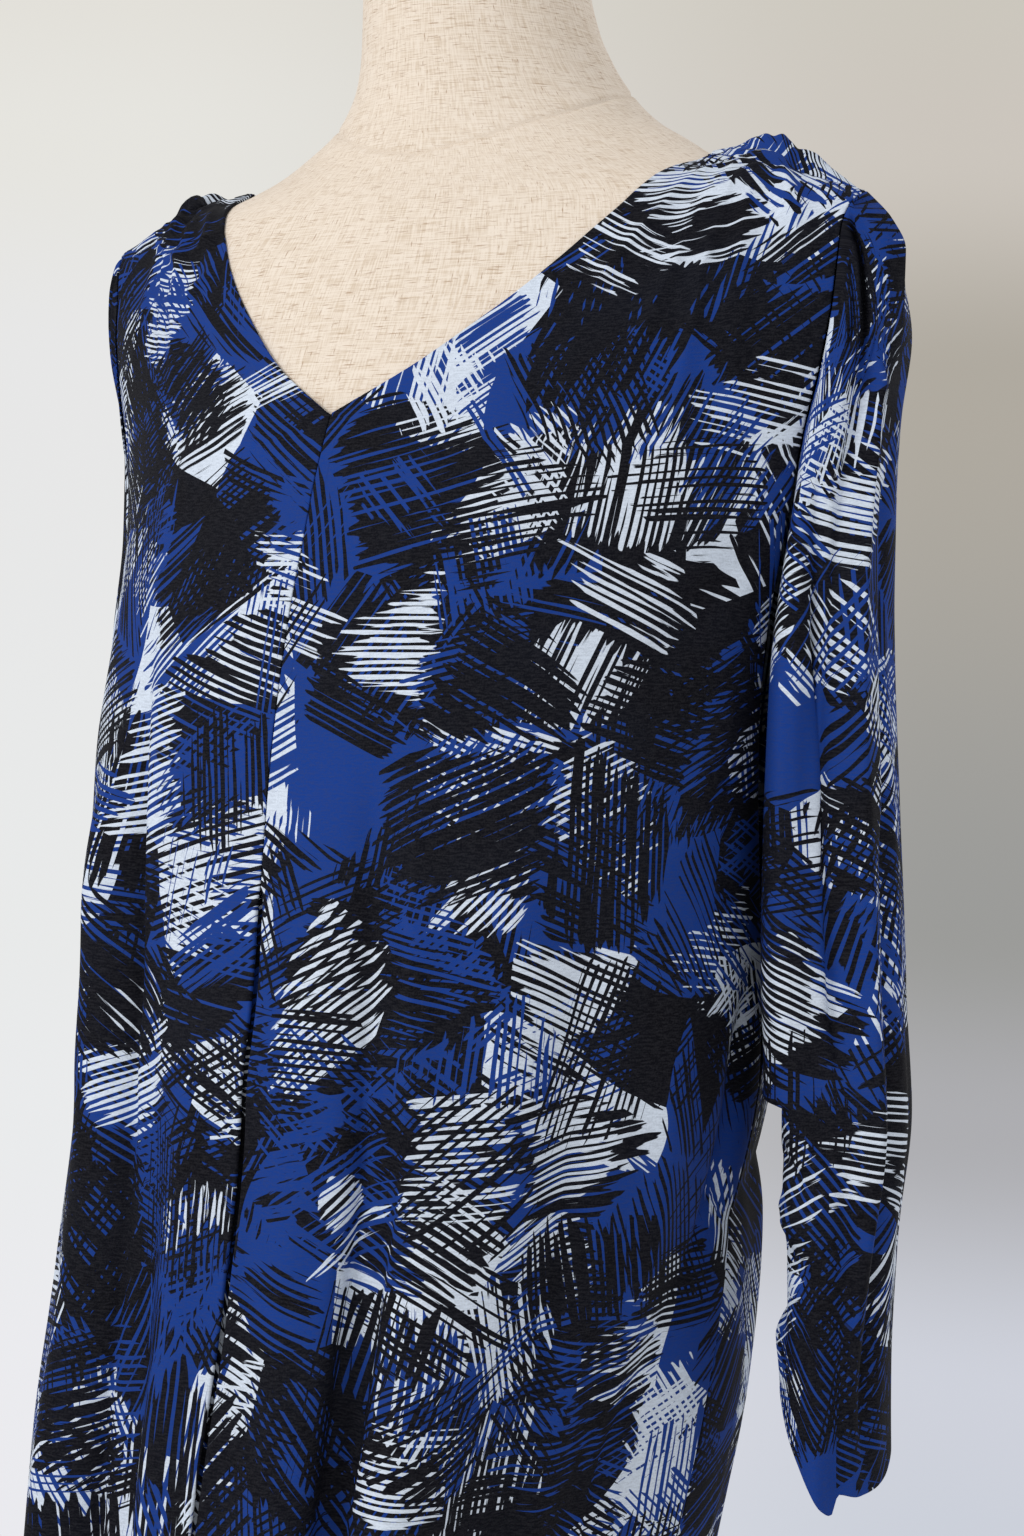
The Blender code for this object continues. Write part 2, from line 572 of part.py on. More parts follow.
def make_form(colour):
    """The torso and neck: rounded sections from the hip to the top of the neck, with flat ends."""
    turn = np.linspace(0, 2 * math.pi, FORM_SEGMENTS, endpoint=False)
    rings = []
    for row in FORM:
        power = 2 / row.fullness
        x = row.half_width * np.sign(np.cos(turn)) * np.abs(np.cos(turn)) ** power
        depth = np.where(np.sin(turn) < 0, row.ridge - row.front, row.back - row.ridge)
        y = row.ridge + depth * np.sign(np.sin(turn)) * np.abs(np.sin(turn)) ** power
        rings.append(np.stack([x, y, np.full_like(x, row.height + SHOULDER_HEIGHT)], axis=1))
    points = np.concatenate(rings)
    faces = grid_faces(len(FORM), FORM_SEGMENTS, closed=True)
    last = (len(FORM) - 1) * FORM_SEGMENTS
    faces.append(tuple(reversed(range(FORM_SEGMENTS))))
    faces.append(tuple(range(last, last + FORM_SEGMENTS)))
    mesh = bpy.data.meshes.new("form_torso")
    mesh.from_pydata([tuple(p) for p in points], [], faces)
    mesh.shade_smooth()
    mesh.set_sharp_from_angle(angle=math.radians(40))
    mesh.materials.append(material("form_torso", colour, 0.9, 0.0))
    parts.objects.link(bpy.data.objects.new("form_torso", mesh))


def make_turned(name, radius, low, high, edge, colour, metallic):
    """A round piece standing upright between two heights, with its edges rounded."""
    bpy.ops.mesh.primitive_cylinder_add(
        vertices=40, radius=radius, depth=high - low, location=(0, 0, (low + high) / 2)
    )
    made = bpy.context.object
    made.name = made.data.name = name
    for collection in list(made.users_collection):
        collection.objects.unlink(made)
    parts.objects.link(made)
    if edge:
        rounded = made.modifiers.new("edge", "BEVEL")
        rounded.width = edge
        rounded.segments = 2
    made.data.shade_smooth()
    made.data.set_sharp_from_angle(angle=math.radians(35))
    made.data.materials.append(material(name, colour, 0.35, metallic))


for old in list(bpy.data.objects):
    bpy.data.objects.remove(old, do_unlink=True)
parts = bpy.data.collections.new("blouse_on_dress_form")
bpy.context.scene.collection.children.link(parts)

BLUE = (0.020, 0.055, 0.260)
DARK_BLUE = (0.012, 0.022, 0.090)
LINEN = (0.780, 0.700, 0.580)
STEEL = (0.560, 0.560, 0.560)

make_front(1, "front_left", BLUE)
make_front(-1, "front_right", BLUE)
make_back(DARK_BLUE)
make_sleeve(1, "sleeve_left", DARK_BLUE)
make_sleeve(-1, "sleeve_right", DARK_BLUE)
make_form(LINEN)
make_turned(
    "form_pole", POLE_RADIUS, BASE_THICKNESS + SEAM_GAP,
    SHOULDER_HEIGHT + FORM_BOTTOM - SEAM_GAP, 0, STEEL, 1.0,
)
make_turned("form_base", BASE_RADIUS, 0.0, BASE_THICKNESS, 0.003, STEEL, 1.0)
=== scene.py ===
"""The looks of a loose V-neck blouse with long sleeves, hanging on a linen-covered dress form.

Metres, +Z up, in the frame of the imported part. Heights in the tables are measured from the neck
end of the shoulder seam, down is negative. The tables of the cut are the part's own, and the
cloth here is made from them with finer rows, creases, turned edges, a print and a weave.
"""

import math
from collections import namedtuple

import bpy
import numpy as np
from mathutils import Matrix, Vector


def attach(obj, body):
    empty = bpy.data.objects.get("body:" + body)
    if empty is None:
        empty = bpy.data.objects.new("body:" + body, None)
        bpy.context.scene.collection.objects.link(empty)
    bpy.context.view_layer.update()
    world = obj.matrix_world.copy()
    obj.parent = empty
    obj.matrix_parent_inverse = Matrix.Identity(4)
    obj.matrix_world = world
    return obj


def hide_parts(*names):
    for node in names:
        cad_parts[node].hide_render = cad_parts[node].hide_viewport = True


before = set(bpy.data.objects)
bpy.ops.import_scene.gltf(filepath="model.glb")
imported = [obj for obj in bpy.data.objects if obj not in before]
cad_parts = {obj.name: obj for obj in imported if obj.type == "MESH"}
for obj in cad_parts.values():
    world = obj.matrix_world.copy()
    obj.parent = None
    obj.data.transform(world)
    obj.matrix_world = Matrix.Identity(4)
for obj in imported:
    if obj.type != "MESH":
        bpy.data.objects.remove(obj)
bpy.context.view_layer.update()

SHOULDER_HEIGHT = 0.800
BLOUSE_LENGTH = 0.690
STITCH_END = -0.335  # the centre seam is sewn down to here, and a pleat opens below
UNDERARM = -0.430
CUFF = -0.588

CHEST_TO_TIP_ROWS = 11
HEM_TO_UNDERARM_ROWS = 7
UNDERARM_TO_CHEST_ROWS = 8
BACK_NECK_ROW = 18


def in_metres(kind, table, plain=1):
    """Rows of a table that is written in millimetres, but for its last columns, which aren't lengths."""
    return [kind(*(size / 1000 for size in row[:-plain]), *row[-plain:]) for row in table]


def as_rows(kind, table):
    """Rows of a table whose units are the ones that the scene uses: metres, degrees and shares."""
    return [kind(*row) for row in table]


# The body's level sections: its middle, its side seam and the half width of the armhole there,
# and the angle at which a panel ends.
BodyRow = namedtuple("BodyRow", "height sway front side seam armhole back end_angle")
BODY = in_metres(BodyRow, [
    (-690, -32, -190, 165, -17, 0, 106, 90),
    (-600, -22, -187, 166, -14, 0, 108, 90),
    (-520, -11, -184, 167, -6, 0, 112, 90),
    (-430, -2, -184, 168, 1, 0, 109, 90),
    (-380, -2, -176, 168, 3, 9, 108, 90),
    (-330, -3, -170, 169, 7, 19, 108, 90),
    (-270, -4, -161, 171, 11, 29, 110, 86),
    (-220, -3, -152, 175, 13, 37, 113, 76),
    (-163, 0, -139, 184, 13, 39, 113, 64),
    (-131, 0, -127, 189, 12, 38, 111, 58),
    (-100, 0, -112, 196, 10, 34, 107, 54),
    (-67, 0, -96, 201, 7, 29, 101, 50),
    (-50, 0, -88, 202, 5, 25, 96, 48),
    (-34, 0, -80, 203, 2, 20, 90, 46),
    (-24, 0, -76, 205, 1, 13, 88, 44),
    (-18, 0, -72, 207, 0, 0, 86, 44),
])
HEM_DRAW = {1: -0.026, -1: -0.005}  # how far the hem swings out at the left side and the right
HEM_DRAW_SPAN = (-0.33, -BLOUSE_LENGTH)  # the heights where that begins and is whole
FRONT_FULLNESS = 2.3  # of the sections under the chest; 2 is an ellipse
BACK_FULLNESS = 2.05
NECK_FULLNESS = 2.0
FULLNESS_SPAN = (-0.28, -0.12)  # the heights between which one becomes the other

# A neckline, from the centre (share 0) to the neck end of the shoulder seam (share 1).
NeckRow = namedtuple("NeckRow", "share x y height")
FRONT_NECK = as_rows(NeckRow, [
    (0, 0, -0.124, -0.122),
    (0.22, 0.038, -0.109, -0.098),
    (0.42, 0.064, -0.093, -0.076),
    (0.60, 0.087, -0.074, -0.054),
    (0.76, 0.106, -0.053, -0.031),
    (0.90, 0.121, -0.029, -0.009),
    (1, 0.130, -0.003, 0.004),
])
BACK_NECK = as_rows(NeckRow, [
    (0, 0, 0.092, -0.030),
    (0.28, 0.036, 0.088, -0.028),
    (0.52, 0.070, 0.075, -0.020),
    (0.76, 0.104, 0.045, -0.006),
    (1, 0.130, -0.003, 0.004),
])

# A ridge (depth over 0) or valley (under 0) runs down a panel. Angles are degrees from the
# panel's centre line, 90 at its side; a fold has its full depth at the hem and none at its top.
Fold = namedtuple("Fold", "top top_angle hem_angle width depth")
FOLDS = {
    "front_right": [
        (-0.20, 25, 12, 5, -0.011),
        (-0.16, 46, 38, 15, 0.009),
        (-0.42, 66, 68, 7, -0.009),
    ],
    "front_left": [
        (-0.33, 24, 24, 5, -0.014),
        (-0.36, 34, 34, 5.5, 0.006),
        (-0.42, 50, 47, 7, -0.006),
        (-0.45, 74, 72, 6, -0.008),
    ],
    "back_left": [
        (-0.16, 26, 22, 8, -0.010),
        (-0.30, 48, 44, 8, 0.006),
        (-0.36, 69, 63, 15, -0.017),
    ],
    "back_right": [
        (-0.22, 12, 8, 8, 0.007),
        (-0.18, 34, 30, 8, -0.010),
        (-0.28, 60, 55, 8, 0.007),
        (-0.34, 76, 73, 6, -0.007),
    ],
}

KNOT_PLACE = {1: 0.40, -1: 0.47}  # share of the shoulder seam, from its neck end, left then right
PUFF_HEIGHT = 0.019  # of the cloth behind the shoulder seam
PUFF_LENGTH = 0.080
PINCH_RADIUS = 0.016  # of the cloth that stands up just behind the knot

# Centre, half depths towards the body and away from it, half width front to back, and the
# angle that the section reaches on each side of its outermost point.
SleeveRow = namedtuple("SleeveRow", "height x y inner outer half_width reach")
SLEEVE = in_metres(SleeveRow, [
    (-640, 206, 0, 19, 22, 40, 180),
    (-550, 205, 0, 18, 20, 41, 180),
    (-500, 205, 1, 19, 23, 44, 180),
    (-440, 204.5, 2, 22, 29, 49, 180),
    (-380, 200, 3, 21, 29, 49, 174),
    (-300, 197, 4, 17, 26, 48, 160),
    (-210, 195, 6, 13, 22, 44, 138),
    (-160, 197, 9, 10, 18, 41, 122),
    (-120, 200.5, 9, 8, 17, 37, 110),
    (-75, 206, 6, 6, 20, 30, 98),
    (-45, 206, 4, 4, 20, 24, 92),
    (-30, 205, 3, 2, 14, 19, 90),
    (-18, 206, 0, 1, 1, 1, 90),
])
CAP_DEPTH = {1: 1.0, -1: 0.62}  # the share of the outer half depth that each cap keeps, left then right
CAP_SPAN = (-0.17, -0.11)  # the heights where that begins and is whole, and the same of the other spans
SLEEVE_SWING = {1: -0.001, -1: 0.016}  # how far back each one hangs, left then right
SWING_SPAN = (-0.03, -0.16)
SLEEVE_SWAY = {1: 0.0, -1: 0.9}  # the share of the body's sway that each one follows
# How far the cuff's edge dips, round from the side by the body: its outer front hangs lowest.
CUFF_EDGE = [
    (-180, -0.022), (-150, -0.030), (-122, -0.013), (-92, 0.008), (-66, 0.024), (-54, 0.027), (-45, 0.018),
    (-25, 0.020), (10, 0.017), (30, 0.011), (60, 0.000), (90, -0.008), (130, -0.013), (180, -0.022),
]
CUFF_SHARE = {1: 1.0, -1: 0.55}  # of those dips, left then right
CUFF_SPAN = (-0.46, CUFF)
SEAM_TURN = 0.0017  # how far the sleeve's edge lies outside the body's where the two turn back to back
SEAM_TURN_SPAN = (0, -0.20)
SEAM_PULL_SPAN = (0.60, 1.0)  # the shares round a sleeve from where its edge is drawn onto the seam
SEAM_CALM = 0.12  # the share round a sleeve, from its edges, in which its folds fade out

# Angles round a sleeve: 0 away from the body, -90 to the front, 90 to the back.
SleeveFold = namedtuple("SleeveFold", "top bottom top_angle bottom_angle width depth")
SLEEVE_FOLDS = {
    1: [
        (-0.20, -0.50, -76, -72, 18, -0.007),
        (-0.08, -0.80, -34, -60, 15, -0.005),
        (-0.20, -0.80, 70, 78, 18, -0.008),
        (-0.45, -0.80, 150, 165, 20, -0.005),
    ],
    -1: [
        (-0.16, -0.80, -64, -70, 18, -0.007),
        (-0.24, -0.80, 60, 82, 18, -0.008),
        (-0.44, -0.80, 158, 148, 20, -0.005),
    ],
}

FormRow = namedtuple("FormRow", "height half_width ridge front back fullness")
FORM = in_metres(FormRow, [
    (-665, 128, 0, -95, 91, 2.2),
    (-580, 143, 0, -101, 100, 2.2),
    (-500, 148, 0, -103, 103, 2.2),
    (-420, 132, 0, -96, 94, 2.2),
    (-360, 122, 0, -94, 86, 2.2),
    (-300, 127, 0, -108, 88, 2.2),
    (-250, 138, 0, -129, 93, 2.1),
    (-210, 147, 0, -134, 98, 2.1),
    (-170, 157, 0, -130, 102, 2),
    (-120, 170, 0, -118.5, 104, 2),
    (-80, 181, 0, -99, 102, 2),
    (-45, 187, 1, -81, 95, 1.9),
    (-26, 182, 3, -71, 89, 1.8),
    (-15, 171, 6, -65, 84, 1.8),
    (-8, 156, 9, -61, 80, 1.8),
    (-2, 141, 15, -58, 76, 1.8),
    (6, 123, 21, -54.5, 71, 1.8),
    (18, 103, 27, -51.5, 66, 1.8),
    (28, 86, 30, -50, 64, 1.9),
    (40, 73.5, 28, -49, 61, 2),
    (55, 65, 20, -49.5, 57.5, 2),
    (72, 59.5, 10, -51, 55.5, 2),
    (95, 56, 2, -52, 54, 2),
    (116, 55.5, 0, -51.5, 53.5, 2),
    (123, 54, 0, -50, 52, 2),
    (126, 49, 0, -45.5, 47.5, 2),
])


def through(places, values):
    """A smooth curve through the values at rising places, which doesn't overshoot them."""
    steps = np.diff(places)
    slopes = np.diff(values) / steps
    bends = np.zeros(len(values))
    bends[0], bends[-1] = slopes[0], slopes[-1]
    both = slopes[:-1] * slopes[1:]
    total = slopes[:-1] + slopes[1:]
    bends[1:-1] = np.where(both > 0, 2 * both / np.where(total == 0, 1, total), 0)

    def at(place):
        i = np.clip(np.searchsorted(places, place) - 1, 0, len(steps) - 1)
        t = np.clip((place - places[i]) / steps[i], 0, 1)
        start = values[i] * (1 + 2 * t) + bends[i] * steps[i] * t
        end = values[i + 1] * (3 - 2 * t) + bends[i + 1] * steps[i] * (t - 1)
        return start * (1 - t) ** 2 + end * t**2

    return at


def curves_of(rows):
    """One smooth curve for each column of a table, over its first column."""
    table = np.array(sorted(rows))
    names = type(rows[0])._fields[1:]
    columns = {name: through(table[:, 0], table[:, i + 1]) for i, name in enumerate(names)}
    return namedtuple("Curves", names)(**columns)


body = curves_of(BODY)
front_neck = curves_of(FRONT_NECK)
back_neck = curves_of(BACK_NECK)
sleeve = curves_of(SLEEVE)
form = curves_of(FORM)
cuff_drop = through(*np.array(CUFF_EDGE, float).T)


def body_seam(end, height):
    """The y of a panel's edge at its side, of the front (end -1) or the back (end 1)."""
    return body.seam(height) + end * body.armhole(height)


def smoothstep(low, high, value):
    t = np.clip((value - low) / (high - low), 0, 1)
    return t * t * (3 - 2 * t)


def form_value(points):
    """Under 0 inside the dress form, 0 on it and over 0 outside."""
    x, y, z = points.T
    z = np.clip(z, FORM[0].height, FORM[-1].height)
    away = y - form.ridge(z)
    depth = np.where(away < 0, form.ridge(z) - form.front(z), form.back(z) - form.ridge(z))
    power = form.fullness(z)
    return ((np.abs(x) / form.half_width(z)) ** power + (np.abs(away) / depth) ** power) ** (1 / power) - 1


CLEARING_ROUNDS = 6


def clear_of_form(points, distance):
    """Moves the points that lie inside the form, or nearer than the distance, out of it."""
    points = points.copy()
    small = 1e-4
    for _ in range(CLEARING_ROUNDS):
        value = form_value(points)
        slope = np.stack(
            [(form_value(points + step) - value) / small for step in small * np.eye(3)], axis=1
        )
        steepness = np.maximum(np.linalg.norm(slope, axis=1), 1e-6)
        short = np.maximum(distance - value / steepness, 0)
        points += slope * (short / steepness)[:, None]
    return points


def folds_at(folds, angle, height):
    """How far a panel's folds move the cloth out."""
    hem = -BLOUSE_LENGTH
    out = np.zeros_like(angle)
    for fold in as_rows(Fold, folds):
        share = np.clip((fold.top - height) / (fold.top - hem), 0, 1)
        middle = fold.top_angle + (fold.hem_angle - fold.top_angle) * share
        grown = fold.depth * smoothstep(0, 0.85, share)
        out += grown * np.exp(-(((angle - middle) / fold.width) ** 2))
    return out


def make_seam_heights():
    """The heights of a panel's rows at its side, hem first; the front, back and sleeves share them."""
    hem, chest, tip = -BLOUSE_LENGTH, FRONT_NECK[0].height - 0.006, BODY[-1].height
    return np.concatenate([
        np.linspace(hem, UNDERARM, HEM_TO_UNDERARM_ROWS + 1)[:-1],
        np.linspace(UNDERARM, chest, UNDERARM_TO_CHEST_ROWS + 1)[:-1],
        np.linspace(chest, tip, CHEST_TO_TIP_ROWS + 1),
    ])


SEAM_HEIGHTS = make_seam_heights()
LAST_ROW = len(SEAM_HEIGHTS) - 1
CHEST_ROW = LAST_ROW - CHEST_TO_TIP_ROWS


def sleeve_folds(side, angle, height):
    out = np.zeros_like(angle)
    for fold in as_rows(SleeveFold, SLEEVE_FOLDS[side]):
        share = np.clip((fold.top - height) / (fold.top - fold.bottom), 0, 1)
        middle = fold.top_angle + (fold.bottom_angle - fold.top_angle) * share
        away = (angle - middle + 180) % 360 - 180
        grown = smoothstep(0, 0.3, share) * (1 - smoothstep(0.75, 1, share))
        out += fold.depth * grown * np.exp(-((away / fold.width) ** 2))
    return out


def sleeve_points(side, heights, shares):
    """Points of a sleeve at the heights, each a share of the way round its level section there.

    Above the underarm a section is open and ends on the armhole seam, at share 0 in front and 1
    behind; below, it's closed.
    """
    angle = (2 * shares - 1) * sleeve.reach(heights)
    turn = np.radians(angle)
    outer = sleeve.outer(heights) * (1 + (CAP_DEPTH[side] - 1) * smoothstep(*CAP_SPAN, heights))
    depth = np.where(np.cos(turn) > 0, outer, sleeve.inner(heights))
    away = sleeve.x(heights) + depth * np.cos(turn)
    y = sleeve.y(heights) + sleeve.half_width(heights) * np.sin(turn)
    turned = SEAM_TURN * smoothstep(*SEAM_TURN_SPAN, heights)
    last = np.radians(body.end_angle(heights))
    reach = np.radians(sleeve.reach(heights))
    end_x = sleeve.x(heights) + np.where(np.cos(reach) > 0, outer, sleeve.inner(heights)) * np.cos(reach)
    for near, end in ((1 - shares, -1), (shares, 1)):
        end_y = sleeve.y(heights) + end * sleeve.half_width(heights) * np.sin(reach)
        pull = smoothstep(*SEAM_PULL_SPAN, near) * (heights > UNDERARM - 1e-6)
        away = away + (body.side(heights) + turned * np.sin(last) - end_x) * pull
        y = y + (body_seam(end, heights) + end * turned * np.cos(last) - end_y) * pull
    calm = smoothstep(0, SEAM_CALM, shares) * smoothstep(0, SEAM_CALM, 1 - shares)
    out = sleeve_folds(side, angle, heights) * np.where(heights > UNDERARM, calm, 1)
    free = smoothstep(*SWING_SPAN, heights) * np.where(heights > UNDERARM, calm, 1)
    swing = SLEEVE_SWING[side] * free
    x = side * (away + out * np.cos(turn)) + SLEEVE_SWAY[side] * body.sway(heights)
    y = y + out * np.sin(turn) + swing
    dip = CUFF_SHARE[side] * cuff_drop(angle) * smoothstep(*CUFF_SPAN, heights)
    return np.stack([x, y, heights - dip], axis=-1)


# The cloth's own sizes.
CLOTH = 0.0005
CLEAR_OF_FORM = 0.0012
SEAM_GAP = 0.0003
SEAM_ROLL = 0.0010  # radius of the bend where two pieces meet at a seam
EDGE_ROLL = 0.0008  # radius of a turned edge

# The knot in each shoulder seam, left (1) and right: a roll that runs back over the shoulder, its
# front end behind a dimple, with cloth pinched up behind it and scallops or gathers round it.
Knot = namedtuple("Knot", "height width end dimple pinch pinch_width scallop ruffle")
KNOTS = {
    1: Knot(0.0030, 0.0085, 0.005, 0.0008, 0.0130, 0.026, 0.0000, 0.0009),
    -1: Knot(0.0085, 0.0056, 0.007, 0.0024, 0.0050, 0.016, 0.0024, 0.0004),
}
ROLL_RUN = 0.016  # how far a knot's roll runs down the back
RUFFLE_REACH = 0.034  # how far from a knot its gathers are lost
SCALLOP_PITCH = 0.0082
SCALLOP_WIDTH = 0.014
DIMPLE_RADIUS = 0.0024
SEAM_ALLOWANCE = 0.007
NECK_FACING = 0.010
HEM_DEPTH = 0.012
CORNER_TAPER = 0.022  # how far from its ends a turned edge has its whole width
CUFF_HEM_DEPTH = 0.014
PLEAT_DEPTH = 0.040
PLEAT_ROLL = 0.0014
PLEAT_OPEN = 0.0014
OPENING_FADE = 0.012  # how far from the centre line the two fronts are no longer parted
SIDE_CALM = 0.020  # how far in from a seam at a piece's side the creases are whole
INNER_CALM = 0.012  # the same at a panel's inner edge and at a sleeve's head
ROLL_STEP = {"panel": 0.004, "sleeve": 0.006}  # the share of a row that a roll's narrow steps take up

# The panels' grids: the table's own rows are the seam heights of part.py, and these lie between.
FRONT_FACE_ROWS = (118, 140)  # under the neckline's lowest point, and over it
BACK_FACE_ROWS = (118, 104)
FACE_COLUMNS = 116
BACK_FACE_COLUMNS = 84
NECK_SPREAD, NECK_SIGMA = 26, 7  # the rows that are evened out round a neckline's lowest point
SLEEVE_COLUMNS = 132
CAP_ROWS = 46
RING_ROWS = 170

PANEL_WAVES = (0.075, 0.0016)  # the size and depth of the soft waves
SLEEVE_WAVES = (0.06, 0.0008)

# A crease runs down a panel from (top_u, top_v) to (low_u, low_v), in millimetres of cloth: u from
# the centre line, or from the outermost line of a sleeve towards the back, and v up from the hem or
# cuff. It bows sideways by bow, its two flanks differ by skew, and sharp makes it a fold line.
Crease = namedtuple("Crease", "top_u top_v low_u low_v bow width depth skew sharp")
CREASES = {
    "front_left": [
        # The fold beside the pleat: its ridge and the dark valley before it.
        (71, 420, 90, -80, 0, 11, 6.8, 0.3, 0.3),
        (50, 430, 71, -80, 2, 10, -8.5, 0.2, 0.4),
        # Long folds from the chest to the hem.
        (106, 440, 133, -80, 4, 18, 4, 0, 0),
        (150, 400, 171, -80, -3, 13, -6.8, -0.2, 0.3),
        (196, 370, 212, -80, 2, 15, 5.8, 0.2, 0.2),
        (262, 330, 262, 80, -6, 10, -7, 0.1, 0.3),
        (264, 150, 222, -30, 4, 11, -8, 0.1, 0.3),
        (28, 250, 36, -80, 0, 12, 3, 0, 0),
        # Folds that radiate from the knot.
        (156, 765, 161, 540, -3, 6.5, 3.6, 0, 0.3),
        (152, 760, 128, 570, 4, 5.5, 2.9, 0.1, 0.4),
        (150, 755, 98, 620, 3, 5, 2.6, 0, 0.4),
        (148, 752, 85, 690, 2, 4.5, -2, 0, 0.3),
        (158, 760, 186, 560, -3, 6, 3.2, 0, 0.3),
        (160, 755, 203, 630, -3, 5, 2.6, 0, 0.4),
        (162, 750, 206, 690, -2, 4.5, -2, 0, 0.3),
        # Drag lines from the underarm and beside the neckline.
        (214, 520, 150, 430, 6, 10, -2.2, 0, 0.1),
        (222, 450, 190, 360, 4, 9, 2.2, 0, 0.1),
        (70, 600, 110, 470, 6, 14, 1.6, 0, 0),
    ],
    "front_right": [
        # The deep fold beside the pleat, dark on its outer side, and the ridge that flares past it.
        (88, 490, 54, -80, 4, 8.5, -9.5, 0.4, 0.5),
        (112, 440, 92, -80, 0, 15, 8, 0, 0),
        (30, 300, 24, -80, 0, 12, 4, 0, 0),
        (150, 420, 160, -80, 4, 12, -6.2, 0, 0.3),
        (198, 380, 214, -80, 0, 16, 4.5, 0.1, 0),
        (240, 300, 250, -60, 3, 11, -4, 0, 0.2),
        # The tuck and the scallops under the knot.
        (164, 745, 134, 600, 4, 4.8, 3.6, -0.2, 0.5),
        (152, 760, 118, 590, 4, 6, 3.2, 0, 0.3),
        (150, 755, 96, 650, 3, 5, 2.1, 0, 0.3),
        (148, 750, 86, 690, 2, 4.5, -2, 0, 0.3),
        (158, 760, 182, 600, -3, 5.5, 2.2, 0, 0.2),
        (160, 755, 203, 660, -3, 5, 1.9, 0, 0.3),
        (112, 700, 158, 680, -6, 4.2, 2.8, 0, 0.2),
        (104, 672, 160, 650, -8, 5, 2.8, 0, 0.2),
        (214, 510, 158, 420, 6, 10, -2.2, 0, 0.1),
        (70, 590, 104, 470, 6, 14, 1.6, 0, 0),
    ],
    "back_left": [
        (140, 760, 90, 520, 6, 7, -3.4, 0.1, 0.2),
        (150, 765, 120, 420, 4, 8, -3.6, 0, 0.1),
        (160, 765, 165, 480, -3, 6.5, -3, 0, 0.2),
        (168, 760, 196, 560, -3, 6, -2.8, 0, 0.2),
        (130, 750, 62, 640, 4, 5.5, -2.2, 0, 0.2),
        (26, 600, 30, -80, 3, 15, -4, 0, 0),
        (60, 500, 78, -80, -3, 13, 4.8, 0.2, 0.1),
        (118, 430, 122, -80, 4, 12, -5, 0, 0.2),
        (160, 380, 172, -80, 0, 15, 5, 0, 0),
        (206, 330, 214, -60, 3, 11, -4.5, 0, 0.2),
        (190, 520, 120, 400, 6, 11, 2.6, 0, 0.1),
    ],
    "back_right": [
        (142, 760, 100, 500, 6, 7, -3.4, 0, 0.2),
        (152, 765, 134, 440, 3, 8, -3.4, 0, 0.1),
        (162, 765, 172, 500, -3, 6.5, -3, 0, 0.2),
        (170, 760, 198, 580, -3, 5.5, -2.6, 0, 0.2),
        (132, 750, 70, 650, 4, 5.5, -2.2, 0, 0.2),
        (34, 560, 46, -80, -3, 16, 4.4, 0, 0),
        (82, 470, 90, -80, 4, 12, -5, 0.1, 0.2),
        (132, 420, 146, -80, 0, 15, 4.6, 0, 0),
        (178, 350, 190, -80, 3, 11, -4.6, 0, 0.2),
        (214, 300, 226, -60, 0, 12, 3.6, 0, 0),
        (186, 540, 126, 410, 6, 11, -2.6, 0, 0.1),
    ],
    "sleeve_left": [
        # Gathers at the head, in front of its top.
        (-20, 640, -40, 455, 2, 3.6, -4.8, 0, 0.4),
        (-8, 640, -29, 440, 2, 3.6, -5.2, 0, 0.4),
        (2, 640, -17, 440, 1, 3.8, -4.4, 0, 0.4),
        (-34, 610, -50, 480, 2, 4, -3.6, 0, 0.3),
        (12, 640, 10, 470, 0, 4.2, -4, 0, 0.3),
        (22, 630, 30, 500, 0, 4, -2.6, 0, 0.3),
        (34, 620, 46, 530, 0, 3.6, -2.2, 0, 0.3),
        # The long valley beside the body, and the sharp ridge down the front of the arm.
        (-45, 460, -38, 150, 0, 8.5, -10.5, 0.2, 0.4),
        (-30, 630, -34, 240, 2, 6, -5.6, 0.2, 0.6),
        (-15, 600, -24, -40, -2, 7.5, 6.2, -0.3, 0.6),
        (4, 560, -2, 180, 2, 6, -4.6, 0, 0.5),
        (-6, 300, -14, -40, 0, 6, -6.6, 0.2, 0.5),
        (-104, 70, -104, -40, 0, 16, 6, 0, 0.1),
        (16, 420, 22, 20, 3, 12, -3, 0, 0.1),
        (48, 480, 44, 60, 3, 10, 3, 0, 0.2),
        # Crumples in the crook and over the forearm.
        (-80, 138, -48, 112, 2, 5.6, -3.8, 0, 0.4),
        (-82, 114, -50, 98, -2, 6, 3.2, 0, 0.3),
        (-76, 94, -40, 66, 2, 6, -3, 0, 0.3),
        (-66, 60, -30, 30, 1, 6, -2.2, 0, 0.2),
        (60, 190, 86, 150, 2, 6, -3, 0, 0.3),
    ],
    "sleeve_right": [
        (-22, 640, -36, 480, 2, 3.6, -3.4, 0, 0.4),
        (-10, 640, -24, 470, 2, 3.6, -3.4, 0, 0.4),
        (4, 640, 0, 480, 1, 4, -3, 0, 0.3),
        (18, 640, 26, 500, 0, 4.2, -2.6, 0, 0.3),
        (32, 620, 44, 520, 0, 3.8, -2.2, 0, 0.3),
        (-40, 450, -44, 140, 0, 8, -6, 0, 0.3),
        (-10, 600, -16, -40, 2, 8, 3.8, 0.2, 0.4),
        (30, 480, 34, 30, 0, 11, -3.4, 0, 0.1),
        (60, 200, 30, 160, 2, 6, -3, 0, 0.3),
        (-70, 150, -40, 110, 2, 6, -3, 0, 0.3),
    ],
}


# Surfaces of the cut.


